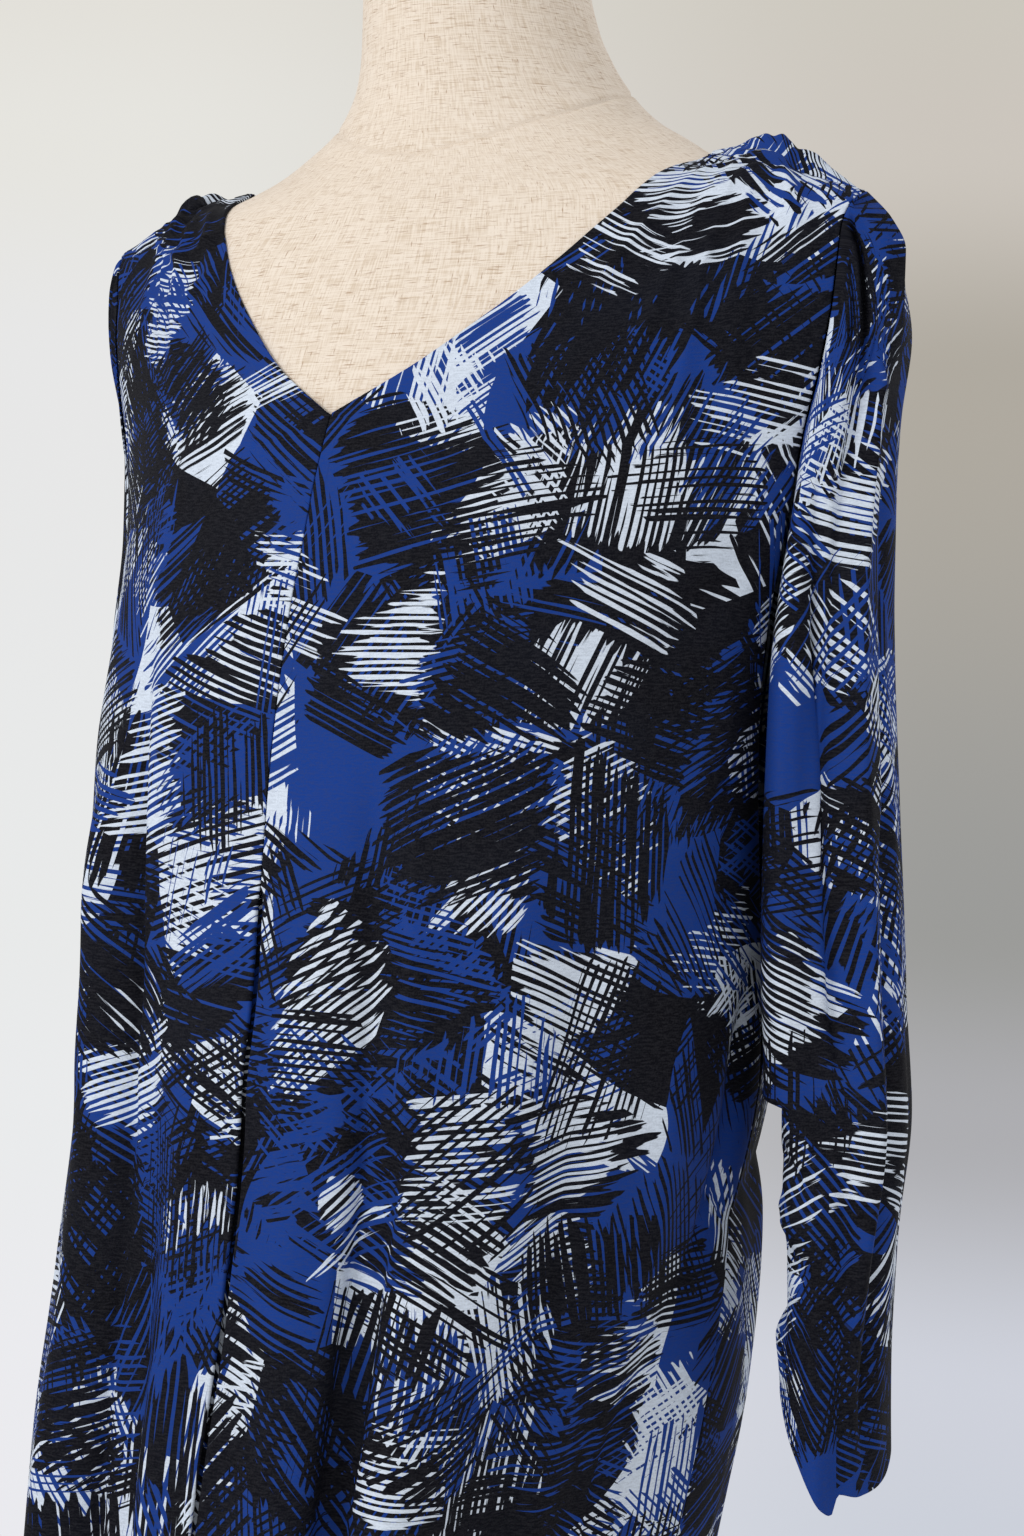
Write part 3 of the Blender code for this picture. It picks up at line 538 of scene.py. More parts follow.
def panel_surface(side, name, rows, shares):
    """Points of half the body at fractional rows of the table, each a share of the way across."""
    front = name.startswith("front")
    lowest = CHEST_ROW if front else BACK_NECK_ROW
    neck, middle = (front_neck, body.front) if front else (back_neck, body.back)
    rows = rows[:, None]
    low = np.interp(rows, np.arange(LAST_ROW + 1), SEAM_HEIGHTS)
    up_neck = np.clip((rows - lowest) / (LAST_ROW - lowest), 0, 1)
    rise = (FRONT_NECK[0].height - SEAM_HEIGHTS[CHEST_ROW]) * (rows / CHEST_ROW) ** 3
    height = np.where(rows <= CHEST_ROW, low + rise, 0)
    if not front:
        between = np.interp(rows, [CHEST_ROW, lowest], [FRONT_NECK[0].height, BACK_NECK[0].height])
        height = np.where(rows > CHEST_ROW, between, height)
    on_neck = rows > lowest
    inner_x = np.where(on_neck, neck.x(up_neck), 0.0)
    inner_height = np.where(on_neck, neck.height(up_neck), height)
    inner_y = np.where(on_neck, neck.y(up_neck), middle(height))

    outer_x = body.side(low) + HEM_DRAW[side] * smoothstep(*HEM_DRAW_SPAN, low)
    outer_y = body_seam(-1 if front else 1, low)
    full = FRONT_FULLNESS if front else BACK_FULLNESS
    power = 2 / (full + (NECK_FULLNESS - full) * smoothstep(*FULLNESS_SPAN, low))
    last = np.radians(np.minimum(body.end_angle(low), 90))
    reach = outer_x / np.sin(last) ** power
    first = np.arcsin((inner_x / reach) ** (1 / power))
    turn = first + (last - first) * shares
    across = np.sin(turn) ** power
    deep = np.maximum(np.cos(turn), 0) ** power
    depth = (inner_y - outer_y) / (deep[:, :1] - deep[:, -1:])
    x = reach * across
    y = outer_y + depth * (deep - deep[:, -1:])
    heights = inner_height + (low - inner_height) * shares**1.25
    out = folds_at(FOLDS[name], np.degrees(turn), heights) * (1 - smoothstep(0.90, 1.0, shares))
    x = x + out * np.sin(turn)
    y = y + out * np.sign(depth) * np.cos(turn)
    return np.stack([side * x + body.sway(heights), y, heights], axis=-1)


def knot_places(side, grid, i):
    """How far a panel's row lies from the shoulder seam, and each of its points from the knot's line."""
    from_seam = np.linalg.norm(grid[i] - grid[-1], axis=1).mean()
    along = np.linalg.norm(grid[i] - grid[i, 0], axis=1)
    return from_seam, along - along[-1] * KNOT_PLACE[side]


def near_shoulder(rows):
    return np.nonzero(rows > CHEST_ROW)[0]


def shoulder_lift(side, grid, rows, front, shares):
    """Moves the top of a panel up at its shoulder seam: the roll of the knot, and the puff behind it."""
    knot = KNOTS[side]
    placed = [(i, *knot_places(side, grid, i)) for i in near_shoulder(rows)]
    for i, from_seam, across in placed:
        roll = knot.height * np.exp(-((across / knot.width) ** 4))
        if front:
            lift = roll * (1 - smoothstep(knot.end, knot.end + 0.005, from_seam))
        else:
            puff = math.sin(math.pi * min(1, from_seam / PUFF_LENGTH))
            behind = (across / knot.pinch_width) ** 2 + ((from_seam - PINCH_RADIUS / 2) / PINCH_RADIUS) ** 2
            lift = roll * math.exp(-((from_seam / ROLL_RUN) ** 2))
            lift = lift + knot.pinch * np.exp(-behind) * smoothstep(0, PINCH_RADIUS, from_seam)
            lift = lift + PUFF_HEIGHT * puff * shares**0.3 * np.sin(math.pi * shares) ** 0.7
        grid[i, :, 2] += lift
    return grid


def knot_folds(side, grid, rows, front):
    """How far the small folds round a knot stand out: scallops that hang under it, and gathers."""
    knot = KNOTS[side]
    out = np.zeros(grid.shape[:2])
    for i in near_shoulder(rows):
        from_seam, across = knot_places(side, grid, i)
        away, turn = np.hypot(across, from_seam), np.arctan2(from_seam, across)
        ruffle = 1.2 + np.sin(9 * turn + side) + 0.5 * np.sin(16 * turn + 2)
        outside = smoothstep(0.9, 2.0, away / knot.width) * np.exp(-((away / RUFFLE_REACH) ** 2))
        out[i] = knot.ruffle * ruffle * outside
        if front:
            below = from_seam + across**2 / 0.040 - knot.end - 0.004
            hangs = smoothstep(0, 0.005, below) * (1 - smoothstep(0.030, 0.046, below))
            drape = 0.5 - 0.5 * np.cos(2 * math.pi * below / SCALLOP_PITCH)
            out[i] += knot.scallop * drape * hangs * np.exp(-((across / SCALLOP_WIDTH) ** 2))
            from_dimple = (from_seam - knot.end - 0.003) ** 2 + across**2
            out[i] -= knot.dimple * np.exp(-(from_dimple / DIMPLE_RADIUS**2))
        out[i] *= smoothstep(0, 0.006, from_seam)
    return out


def smoothed(grid, centre, spread, sigma):
    """The grid with its rows near one row evened out, away from the panel's inner edge."""
    rows = np.arange(len(grid))
    reach = int(3 * sigma)
    weights = np.exp(-((np.arange(-reach, reach + 1) / sigma) ** 2) / 2)
    weights /= weights.sum()
    padded = np.concatenate([
        2 * grid[:1] - grid[reach:0:-1], grid, 2 * grid[-1:] - grid[-2 : -reach - 2 : -1],
    ])
    even = sum(w * padded[k : k + len(grid)] for k, w in enumerate(weights))
    near = np.exp(-(((rows - centre) / spread) ** 2))[:, None, None]
    inside = smoothstep(0.0, 0.18, np.linspace(0, 1, grid.shape[1]))[None, :, None]
    return grid + (even - grid) * near * inside


def normals_of(grid, outward_hint):
    """Unit normals of a grid of points, all on the side of the hint."""
    up = np.gradient(grid, axis=0)
    over = np.gradient(grid, axis=1)
    normal = np.cross(over, up)
    normal /= np.maximum(np.linalg.norm(normal, axis=-1, keepdims=True), 1e-12)
    return normal * outward_hint


def lengths_along(grid, axis):
    steps = np.linalg.norm(np.diff(grid, axis=axis), axis=-1)
    pad = [(0, 0), (0, 0)]
    pad[axis] = (1, 0)
    return np.pad(np.cumsum(steps, axis=axis), pad)


def cloth_places(grid):
    """The cloth's own places (u, v): u across from the centre line, v up from the hem."""
    u = lengths_along(grid, 1)
    start = np.concatenate([[0], np.cumsum(np.abs(np.diff(grid[:, 0, 0] - body.sway(grid[:, 0, 2]))))])
    u = u + start[:, None]
    flat = grid.copy()
    flat[..., 0] = 0
    v = lengths_along(flat, 0)
    return np.stack([u, v], axis=-1)


def crease_field(places, creases):
    """How far the creases move each place of the cloth out."""
    u, v = places[..., 0], places[..., 1]
    out = np.zeros_like(u)
    for c in in_metres(Crease, creases, plain=2):
        run_u, run_v = c.low_u - c.top_u, c.low_v - c.top_v
        length = math.hypot(run_u, run_v)
        run_u, run_v = run_u / length, run_v / length
        share = ((u - c.top_u) * run_u + (v - c.top_v) * run_v) / length
        inside = np.clip(share, 0, 1)
        away = (v - c.top_v) * run_u - (u - c.top_u) * run_v - c.bow * 4 * inside * (1 - inside)
        away = away / c.width
        away = np.abs(away) / np.where(away > 0, 1 + c.skew, 1 - c.skew)
        shape = (1 - c.sharp) * np.exp(-(away**2)) + c.sharp * np.exp(-1.6 * away)
        within = smoothstep(0, 0.20, share) * (1 - smoothstep(0.75, 1.0, share))
        uneven = 1 + 0.25 * np.sin(2 * math.pi * (share * 1.7 + 9.0 * c.top_u))
        out += c.depth * shape * within * uneven
    return out


def soft_waves(places, seed, size, depth):
    """Long soft unevenness of hanging cloth: a few slow waves, mostly upright."""
    random = np.random.default_rng(seed)
    u, v = places[..., 0], places[..., 1]
    out = np.zeros_like(u)
    for _ in range(9):
        across, along = random.uniform(0.6, 1.7) / size, random.uniform(-0.22, 0.22) / size
        turn, amount = random.uniform(0, 2 * math.pi), random.uniform(0.4, 1.0)
        out += amount * np.sin(2 * math.pi * (across * u + along * v) + turn)
    return depth * out / 3


# Edges.


def rolled_edge(grid, normal, radius, lateral, inwards):
    """Bends a grid's first column in over a small roll, and adds hidden columns behind it.

    radius is one a row; lateral and inwards are (rows, columns), from the roll to the raw edge.
    """
    along = lengths_along(grid, 1)
    near = np.clip(radius[:, None] - along, 0, None)
    bend = radius[:, None] - np.sqrt(np.maximum(radius[:, None] ** 2 - near**2, 0))
    hidden = np.empty((grid.shape[0], lateral.shape[1], 3))
    for r in range(len(grid)):
        for i in range(3):
            place = np.interp(lateral[r], along[r], grid[r, :, i])
            way = np.interp(lateral[r], along[r], normal[r, :, i])
            hidden[r, :, i] = place - way * inwards[r]
    face = grid - normal * bend[..., None]
    return np.concatenate([hidden[:, ::-1], face], axis=1)


ROLL_TURNS = np.radians([30, 60, 90])
TURNED_STEPS = np.array([0.3, 0.7, 1.0])
TURNED = len(ROLL_TURNS) + len(TURNED_STEPS)  # rows or columns that a turned edge adds


def turned_profile(radius, widths):
    """Lateral distances and depths of an edge turned under, for each of the widths."""
    widths = np.maximum(np.atleast_1d(widths), radius)[:, None]
    roll = np.tile(radius * (1 - np.cos(ROLL_TURNS)), (len(widths), 1))
    inwards = np.concatenate([radius * (1 + np.sin(ROLL_TURNS)), np.full(len(TURNED_STEPS), 2 * radius)])
    lateral = np.concatenate([roll, radius + (widths - radius) * TURNED_STEPS], axis=1)
    return lateral, np.tile(inwards, (len(widths), 1))


def turn_under(grid, normal, radius, width):
    """A turned edge all along a grid's first column, narrower towards its corners."""
    run = lengths_along(grid[:, :1], 0)[:, 0]
    corner = np.clip(np.minimum(run, run[-1] - run) / CORNER_TAPER, 0, 1)
    lateral, inwards = turned_profile(radius, width * corner)
    return rolled_edge(grid, normal, np.full(len(grid), radius), lateral, inwards)


def swapped(grid):
    return np.swapaxes(grid, 0, 1)


def turned_start(grid, hint, radius, width):
    """A grid with its first row turned under."""
    return swapped(turn_under(swapped(grid), swapped(normals_of(grid, hint)), radius, width))


def turned_end(grid, hint, radius, width):
    """A grid with its last row turned under."""
    flipped = swapped(grid[::-1])
    return swapped(turn_under(flipped, swapped(normals_of(grid, hint)[::-1]), radius, width))[::-1]


def with_edges(grid, hint):
    """A panel with its side, its hem and its shoulder turned under."""
    flipped = grid[:, ::-1]
    grid = turn_under(flipped, normals_of(flipped, -hint), SEAM_ROLL, SEAM_ALLOWANCE)[:, ::-1]
    grid = turned_start(grid, hint, EDGE_ROLL, HEM_DEPTH)
    return turned_end(grid, hint, SEAM_ROLL, SEAM_ALLOWANCE)


# Meshes.


def grid_faces(rows, columns):
    r, c = np.meshgrid(np.arange(rows - 1), np.arange(columns - 1), indexing="ij")
    first = r * columns + c
    return np.stack([first, first + 1, first + 1 + columns, first + columns], axis=-1).reshape(-1, 4)


def placed(name, data):
    made = bpy.data.objects.new(name, data)
    bpy.context.scene.collection.objects.link(made)
    return made


def mesh_object(name, points, faces, places, outward, surface, welds=None):
    """A piece made of four-sided faces, with its cloth places as UVs.

    welds gives for each point the one that it is joined to; the places stay apart.
    """
    if not outward:
        faces = faces[:, ::-1]
    spots = places[faces].astype(np.float32)
    if welds is not None:
        used, faces = np.unique(welds[faces], return_inverse=True)
        points, faces = points[used], faces.reshape(-1, 4)
    mesh = bpy.data.meshes.new(name)
    mesh.from_pydata((points + [0, 0, SHOULDER_HEIGHT]).tolist(), [], faces.tolist())
    layer = mesh.uv_layers.new(name="cloth")
    layer.data.foreach_set("uv", spots.ravel())
    mesh.shade_smooth()
    mesh.materials.append(surface)
    made = placed(name, mesh)
    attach(made, "root")
    return made


PRINT_SHIFT = {  # where each piece was cut from the printed cloth, in metres
    "front_left": (0.10, 0.20),
    "front_right": (0.93, 0.05),
    "back": (1.70, 0.45),
    "sleeve_left": (6.13, 1.04),
    "sleeve_right": (3.40, 0.33),
}


def edge_fine(count, fine):
    """Shares from 0 to 1, with narrow steps near 0 for a roll."""
    first = np.array([0.0, 0.15, 0.45, 1.0, 1.8]) * fine
    return np.concatenate([first, np.linspace(first[-1], 1, count - len(first) + 2)[1:]])


def both_fine(count, fine):
    """Shares from 0 to 1, with narrow steps near both ends."""
    half = edge_fine(count // 2 + 1, fine * 2) / 2
    return np.concatenate([half, 1 - half[-2::-1]])


def panel_rows(front):
    """Fractional rows of the table, hem first, with narrow steps at the hem and the shoulder."""
    hem = np.array([0.0, 0.006, 0.014, 0.026, 0.05])
    tip = LAST_ROW - np.array([0.52, 0.43, 0.35, 0.27, 0.20, 0.14, 0.09, 0.05, 0.02, 0.0])
    low, high = FRONT_FACE_ROWS if front else BACK_FACE_ROWS
    under, over = np.linspace(0.10, CHEST_ROW, low), np.linspace(CHEST_ROW, tip[0], high + 1)
    return np.concatenate([hem, under, over[1:-1], tip])


def clear_grid(grid):
    """Rests the cloth on the form, and keeps it from dipping in."""
    return clear_of_form(grid.reshape(-1, 3), CLOTH + CLEAR_OF_FORM).reshape(grid.shape)


def dressed_panel(side, name, count):
    """Half the body with its creases, and its cloth places."""
    front = name.startswith("front")
    rows, shares = panel_rows(front), both_fine(count, ROLL_STEP["panel"])
    grid = panel_surface(side, name, rows, shares)
    middle = np.searchsorted(rows, CHEST_ROW if front else BACK_NECK_ROW)
    grid = smoothed(grid, middle, NECK_SPREAD, NECK_SIGMA)
    grid = clear_grid(grid)
    grid = shoulder_lift(side, grid, rows, front, shares)
    places = cloth_places(grid)
    hint = side if front else -side
    normal = normals_of(grid, hint)
    u, v = places[..., 0], places[..., 1]
    calm = smoothstep(0, SIDE_CALM, u[:, -1:] - u) * smoothstep(0, INNER_CALM, u - u[:, :1])
    free = 0.25 + 0.75 * smoothstep(0.45, 0.10, v)
    out = crease_field(places, CREASES[name]) + soft_waves(places, SEEDS[name], *PANEL_WAVES) * free
    out = out + knot_folds(side, grid, rows, front)
    grid = grid + normal * (out * calm)[..., None]
    grid = clear_grid(grid)
    return grid, places, rows, hint


SEEDS = {  # of each surface's soft waves
    "front_left": 3, "front_right": 5, "back_left": 7, "back_right": 8,
    "sleeve_left": 11, "sleeve_right": 12,
}


def front_profile(grid, rows, side):
    """The hidden columns at a front's inner edge: the neck's facing, the seam's allowance or the pleat."""
    lateral, inwards, radius = [], [], []
    for r, row in enumerate(rows):
        if grid[r, 0, 2] < STITCH_END:
            roll, half, fold = PLEAT_ROLL, PLEAT_DEPTH / 2, PLEAT_DEPTH - PLEAT_ROLL
            lat = [half, fold, PLEAT_DEPTH, fold, half, roll / 4]
            deep = [2 * roll, 2 * roll, 3 * roll, 4 * roll, 4 * roll, 4 * roll]
        else:
            roll = EDGE_ROLL if row > CHEST_ROW else SEAM_ROLL * 0.7
            width = NECK_FACING if row > CHEST_ROW else SEAM_ALLOWANCE
            lat = [width * 0.4, width * 0.7, width * 0.9, width * 0.95, width * 0.98, width]
            deep = [2 * roll] * 6
        radius.append(roll)
        lateral.append(np.concatenate([roll * (1 - np.cos(ROLL_TURNS)), lat]))
        inwards.append(np.concatenate([roll * (1 + np.sin(ROLL_TURNS)), deep]))
    return np.array(radius), np.array(lateral), np.array(inwards)


def grown_places(places, before_row, after_row, before_column, after_column, widths):
    """The cloth places with rows and columns added for the turned edges."""
    grid = places
    for axis, count, width, start in (
        (1, before_column, widths[0], True), (1, after_column, widths[1], False),
        (0, before_row, widths[2], True), (0, after_row, widths[3], False),
    ):
        if not count:
            continue
        steps = np.linspace(1, 1 / count, count) * width
        shift = np.zeros(2)
        shift[0 if axis == 1 else 1] = 1
        edge = np.take(grid, [0 if start else -1], axis=axis)
        steps = -steps if start else steps[::-1]
        shape = (1, count, 1) if axis == 1 else (count, 1, 1)
        grown = edge + steps.reshape(shape) * shift
        grid = np.concatenate([grown, grid] if start else [grid, grown], axis=axis)
    return grid


def finish_cloth(name, points, faces, places, outward, surface, welds=None):
    """One piece of cloth, with its wall and the size that it was cut to, with allowances, hem and pleat."""
    places = places.reshape(-1, 2) + PRINT_SHIFT[name]
    made = mesh_object(name + "_cloth", points.reshape(-1, 3), faces, places, outward, surface, welds)
    wall = made.modifiers.new("wall", "SOLIDIFY")
    wall.thickness = CLOTH
    wall.offset = -1.0
    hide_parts(name)


def make_front(side, name, surface):
    grid, places, rows, hint = dressed_panel(side, name, FACE_COLUMNS)
    centre = rows <= CHEST_ROW
    opening = np.where(grid[:, 0, 2] < STITCH_END, PLEAT_OPEN, SEAM_GAP / 2)[:, None]
    parted = opening * (1 - smoothstep(0, OPENING_FADE, places[..., 0]))
    grid[centre, :, 0] += side * parted[centre]
    grid = rolled_edge(grid, normals_of(grid, hint), *front_profile(grid, rows, side))
    hidden = len(ROLL_TURNS) + 6
    grid = with_edges(grid, hint)
    places = grown_places(places, TURNED, TURNED, hidden, TURNED, (0.03, 0.01, HEM_DEPTH, 0.01))
    steps = np.linalg.norm(np.diff(grid[:, : hidden + 1], axis=1), axis=-1)
    run = np.cumsum(steps[:, ::-1], axis=1)[:, ::-1]
    places[:, :hidden, 0] = places[:, hidden : hidden + 1, 0] - run
    finish_cloth(name, grid, grid_faces(*grid.shape[:2]), places, hint > 0, surface)


def make_back(surface):
    """Both halves in one piece, joined on the centre line up to the neckline."""
    pieces = []
    for side, name in ((1, "back_left"), (-1, "back_right")):
        grid, places, rows, hint = dressed_panel(side, name, BACK_FACE_COLUMNS)
        neck = rows > BACK_NECK_ROW
        grid[~neck, 0, 0] = body.sway(grid[~neck, 0, 2])
        places[..., 0] *= side
        pieces.append((grid, places, rows, hint))
    left, right = pieces
    rows = left[2]
    neck = int((rows <= BACK_NECK_ROW).sum())
    middle = (left[0][:neck, 0] + right[0][:neck, 0]) / 2
    left[0][:neck, 0] = right[0][:neck, 0] = middle
    lateral, inwards = turned_profile(EDGE_ROLL, NECK_FACING)
    points, spots, faces = [], [], []
    for grid, places, _, hint in pieces:
        normal = normals_of(grid, hint)
        on_neck = (np.arange(len(rows)) >= neck)[:, None]
        radius = np.where(on_neck[:, 0], EDGE_ROLL, 0.0)
        grid = rolled_edge(grid, normal, radius, on_neck * lateral, on_neck * inwards)
        grid = with_edges(grid, hint)
        aside = 0.01 * np.sign(places[0, -1, 0])
        places = grown_places(places, TURNED, TURNED, TURNED, TURNED, (aside, aside, HEM_DEPTH, 0.01))
        piece_faces = grid_faces(*grid.shape[:2])
        # Under the neckline the added columns have no width, so their faces are left out.
        columns = grid.shape[1]
        row, column = piece_faces[:, 0] // columns, piece_faces[:, 0] % columns
        piece_faces = piece_faces[(column >= TURNED) | (row >= neck + TURNED - 1)]
        if hint < 0:
            piece_faces = piece_faces[:, ::-1]
        faces.append(piece_faces + sum(len(p) for p in points))
        points.append(grid.reshape(-1, 3))
        spots.append(places.reshape(-1, 2))
    points, spots, faces = np.concatenate(points), np.concatenate(spots), np.concatenate(faces)
    shared = np.arange(len(points))
    half = len(points) // 2
    on_line = np.arange(neck + TURNED) * columns + TURNED
    shared[half + on_line] = on_line
    finish_cloth("back", points, faces, spots, True, surface, shared)


def sleeve_surface(side):
    """The cap's rows run from the armhole down to the first ring, and the rings down to the cuff."""
    shares = both_fine(SLEEVE_COLUMNS, ROLL_STEP["sleeve"])
    tent = 1 - np.abs(2 * shares - 1)
    armhole = SEAM_HEIGHTS[CHEST_ROW] + (SEAM_HEIGHTS[-1] - SEAM_HEIGHTS[CHEST_ROW]) * tent
    first_ring = SEAM_HEIGHTS[CHEST_ROW - 1]
    caps = np.concatenate([[0, 0.004, 0.010, 0.020], np.linspace(0.035, 1, CAP_ROWS)]) ** 1.25
    rows = []
    edge = np.where(shares < 0.5, 0.0, np.where(shares > 0.5, 1.0, 0.5))
    for cap in caps:
        heights = armhole + (first_ring - armhole) * cap
        rows.append(sleeve_points(side, heights, edge + (shares - edge) * cap**0.6))
    even = np.linspace(first_ring, CUFF + 0.004, RING_ROWS)[1:]
    rings = np.concatenate([even, CUFF + np.array([0.002, 0.001, 0.0004, 0])])
    for height in rings:
        rows.append(sleeve_points(side, np.full_like(shares, height), shares))
    open_rows = len(caps) + int((rings > UNDERARM).sum())
    return np.array(rows), len(caps) - 1, open_rows


def make_sleeve(side, name, surface):
    grid, ring, open_rows = sleeve_surface(side)
    hint = -side
    u = lengths_along(grid, 1)
    middle = u.shape[1] // 2
    u = u - u[:, middle : middle + 1]
    flat = grid.copy()
    flat[..., 0] = 0
    down = lengths_along(flat, 0)
    # Up from the cuff's mean height, level at the first ring.
    v = down[ring] - down + (down[-1] - down[ring]).mean()
    places = np.stack([u, v], axis=-1)
    normal = normals_of(grid, hint)
    near_edge = smoothstep(0, SIDE_CALM, u[:, -1:] - u) * smoothstep(0, SIDE_CALM, u - u[:, :1])
    calm = np.where(np.arange(len(grid))[:, None] < open_rows + 6, near_edge, 1)
    calm = calm * smoothstep(0, INNER_CALM, down)
    out = crease_field(places, CREASES[name]) + soft_waves(places, SEEDS[name], *SLEEVE_WAVES)
    grid = grid + normal * (out * calm)[..., None]
    for i in range(open_rows, len(grid)):
        grid[i, 0] = grid[i, -1] = (grid[i, 0] + grid[i, -1]) / 2
    # The open edges bend in at the armhole; below the underarm they meet.
    grid = turned_end(grid, hint, EDGE_ROLL, CUFF_HEM_DEPTH)
    grid = turned_start(grid, hint, SEAM_ROLL, SEAM_ALLOWANCE)
    places = grown_places(places, TURNED, TURNED, 0, 0, (0, 0, -0.01, -CUFF_HEM_DEPTH))
    rows, columns = grid.shape[:2]
    shared = np.arange(rows * columns)
    closed = np.arange(open_rows + TURNED, rows) * columns
    shared[closed + columns - 1] = closed
    finish_cloth(name, grid, grid_faces(rows, columns), places, hint > 0, surface, shared)


# Materials.

BLACK = (0.0030, 0.0031, 0.0055, 1)
COBALT = (0.0080, 0.0430, 0.2500, 1)
WHITE = (0.6700, 0.7500, 0.8700, 1)
LINEN_PALE = (0.8100, 0.7200, 0.6200, 1)
LINEN_DEEP = (0.6300, 0.5150, 0.3950, 1)
SLUB = (0.3700, 0.2300, 0.1350, 1)

# The print. Sizes are metres, shares are of the patches.
GROUND_PATCH = 0.054
GROUND_BEND = 0.08  # how far the ground's patches are bent out of their straight-edged form
COBALT_SHARE = 0.54
BLACK_SHARE = 0.33
STROKE_BEND = 0.046  # the same of the patches of strokes
STROKE_SWEEP = 0.009  # how far the strokes themselves curve
STROKE_SHAPE = (0.20, 1.35, -0.175)  # of a stroke's level: its even part, its chance part and a shift
STROKE_DRYNESS = (-0.50, 0.66)  # the level's dry grain: how much less of it inside a patch than at its border
STROKE_END = (0.013, -0.003)  # how far from the border strokes end: the range, and the least
STROKE_FADE = 0.012
PRESSED_ENDS = ((0.345, 0.352), (0.580, 0.572))  # up from the hem, where the pressed line fades in
CREPE_SHADE = (0.060, 0.060, 0.070, 1)
CLOUD_SHADE = (0.02, 0.03, 0.06, 1)

# One layer of strokes: their patches' shift and size, the spacing of the strokes, the lowest and
# highest level above which a stroke is drawn, the share of patches that have any, and their ink.
Strokes = namedtuple("Strokes", "shift size spacing least most share ink")
STROKES = as_rows(Strokes, [
    (0.31, 0.058, 0.0034, 0.28, 0.64, 0.80, COBALT),
    (2.53, 0.072, 0.0038, 0.24, 0.58, 0.82, BLACK),
    (1.17, 0.048, 0.0033, 0.43, 0.64, 0.38, WHITE),
    (4.93, 0.052, 0.0035, 0.44, 0.66, 0.34, COBALT),
    (3.71, 0.058, 0.0035, 0.28, 0.60, 0.56, BLACK),
])

THREAD = 0.00085  # of the linen
# Its slubs: how many a metre across and up, a shift, and the level above which one shows.
SLUBS = ((130.0, 1500.0, 3.0, 0.615), (1500.0, 150.0, 8.0, 0.650))
SLUB_BLUR = 0.085

STEEL_DEEP, STEEL_PALE, STEEL_CLOUD = (0.42, 0.42, 0.43, 1), (0.66, 0.66, 0.66, 1), (0.30, 0.30, 0.31, 1)


class Nodes:
    """A node tree that short calls add to; values may be numbers or other nodes' outputs."""

    def __init__(self, tree):
        self.tree = tree

    def feed(self, socket, value):
        if isinstance(value, bpy.types.NodeSocket):
            self.tree.links.new(value, socket)
        else:
            socket.default_value = value

    def node(self, kind, inputs, **settings):
        made = self.tree.nodes.new(kind)
        for name, value in settings.items():
            setattr(made, name, value)
        for name, value in inputs.items():
            self.feed(made.inputs[name], value)
        return made

    def calc(self, operation, *values):
        return self.node("ShaderNodeMath", dict(enumerate(values)), operation=operation).outputs[0]

    def times(self, first, second):
        return self.calc("MULTIPLY", first, second)

    def times_plus(self, first, second, third):
        return self.calc("MULTIPLY_ADD", first, second, third)

    def vector(self, operation, first, second):
        return self.node("ShaderNodeVectorMath", {0: first, 1: second}, operation=operation).outputs[0]

    def point(self, x, y, z=0.0):
        return self.node("ShaderNodeCombineXYZ", {"X": x, "Y": y, "Z": z}).outputs[0]

    def parts(self, vector):
        return self.node("ShaderNodeSeparateXYZ", {"Vector": vector}).outputs

    def noise(self, vector, scale, detail=2.0, rough=0.5, output="Fac"):
        inputs = {"Vector": vector, "Scale": scale, "Detail": detail, "Roughness": rough}
        return self.node("ShaderNodeTexNoise", inputs, noise_dimensions="3D").outputs[output]

    def streaks(self, x, y, wide, tall, z=0.0, detail=1.0, rough=0.5):
        """Noise that is drawn out: wide and tall say how many of its spots lie in a metre of x and of y."""
        return self.noise(self.point(self.times(x, wide), self.times(y, tall), z), 1.0, detail, rough)

    def drift(self, place, scale):
        """A direction that changes slowly from place to place."""
        return self.vector("SUBTRACT", self.noise(place, scale, 1.0, output="Color"), (0.5, 0.5, 0.5))

    def drifted(self, place, drift, reach):
        return self.vector("ADD", place, self.vector("MULTIPLY", drift, (reach, reach, 0)))

    def between(self, value, low, high):
        """0 where the value is under low and 1 where it is over high, or the other way round."""
        inputs = {"Value": value, "From Min": low, "From Max": high}
        return self.node("ShaderNodeMapRange", inputs, clamp=True).outputs[0]

    def blend(self, share, first, second):
        made = self.node("ShaderNodeMix", {"Factor": share}, data_type="RGBA")
        colours = [socket for socket in made.inputs if socket.type == "RGBA"]
        self.feed(colours[0], first)
        self.feed(colours[1], second)
        return next(socket for socket in made.outputs if socket.type == "RGBA")


class Surface(Nodes):
    """A material and its nodes."""

    def __init__(self, name):
        self.material = bpy.data.materials.new(name)
        self.material.use_nodes = True
        super().__init__(self.material.node_tree)
        self.shader = self.tree.nodes["Principled BSDF"]

    def shade(self, values):
        for name, value in values.items():
            self.feed(self.shader.inputs[name], value)

    def relief(self, height, strength, distance):
        bump = self.node("ShaderNodeBump", {"Strength": strength, "Distance": distance, "Height": height})
        self.shade({"Normal": bump.outputs["Normal"]})


def patches(s, place, size):
    """Random patches of cloth: three random numbers for each, and the distance to its border."""
    inputs = {"Vector": place, "Scale": 1 / size}
    cells, border = (
        s.node("ShaderNodeTexVoronoi", inputs, voronoi_dimensions="2D", feature=feature)
        for feature in ("F1", "DISTANCE_TO_EDGE")
    )
    return s.parts(cells.outputs["Color"]), s.times(border.outputs["Distance"], size)


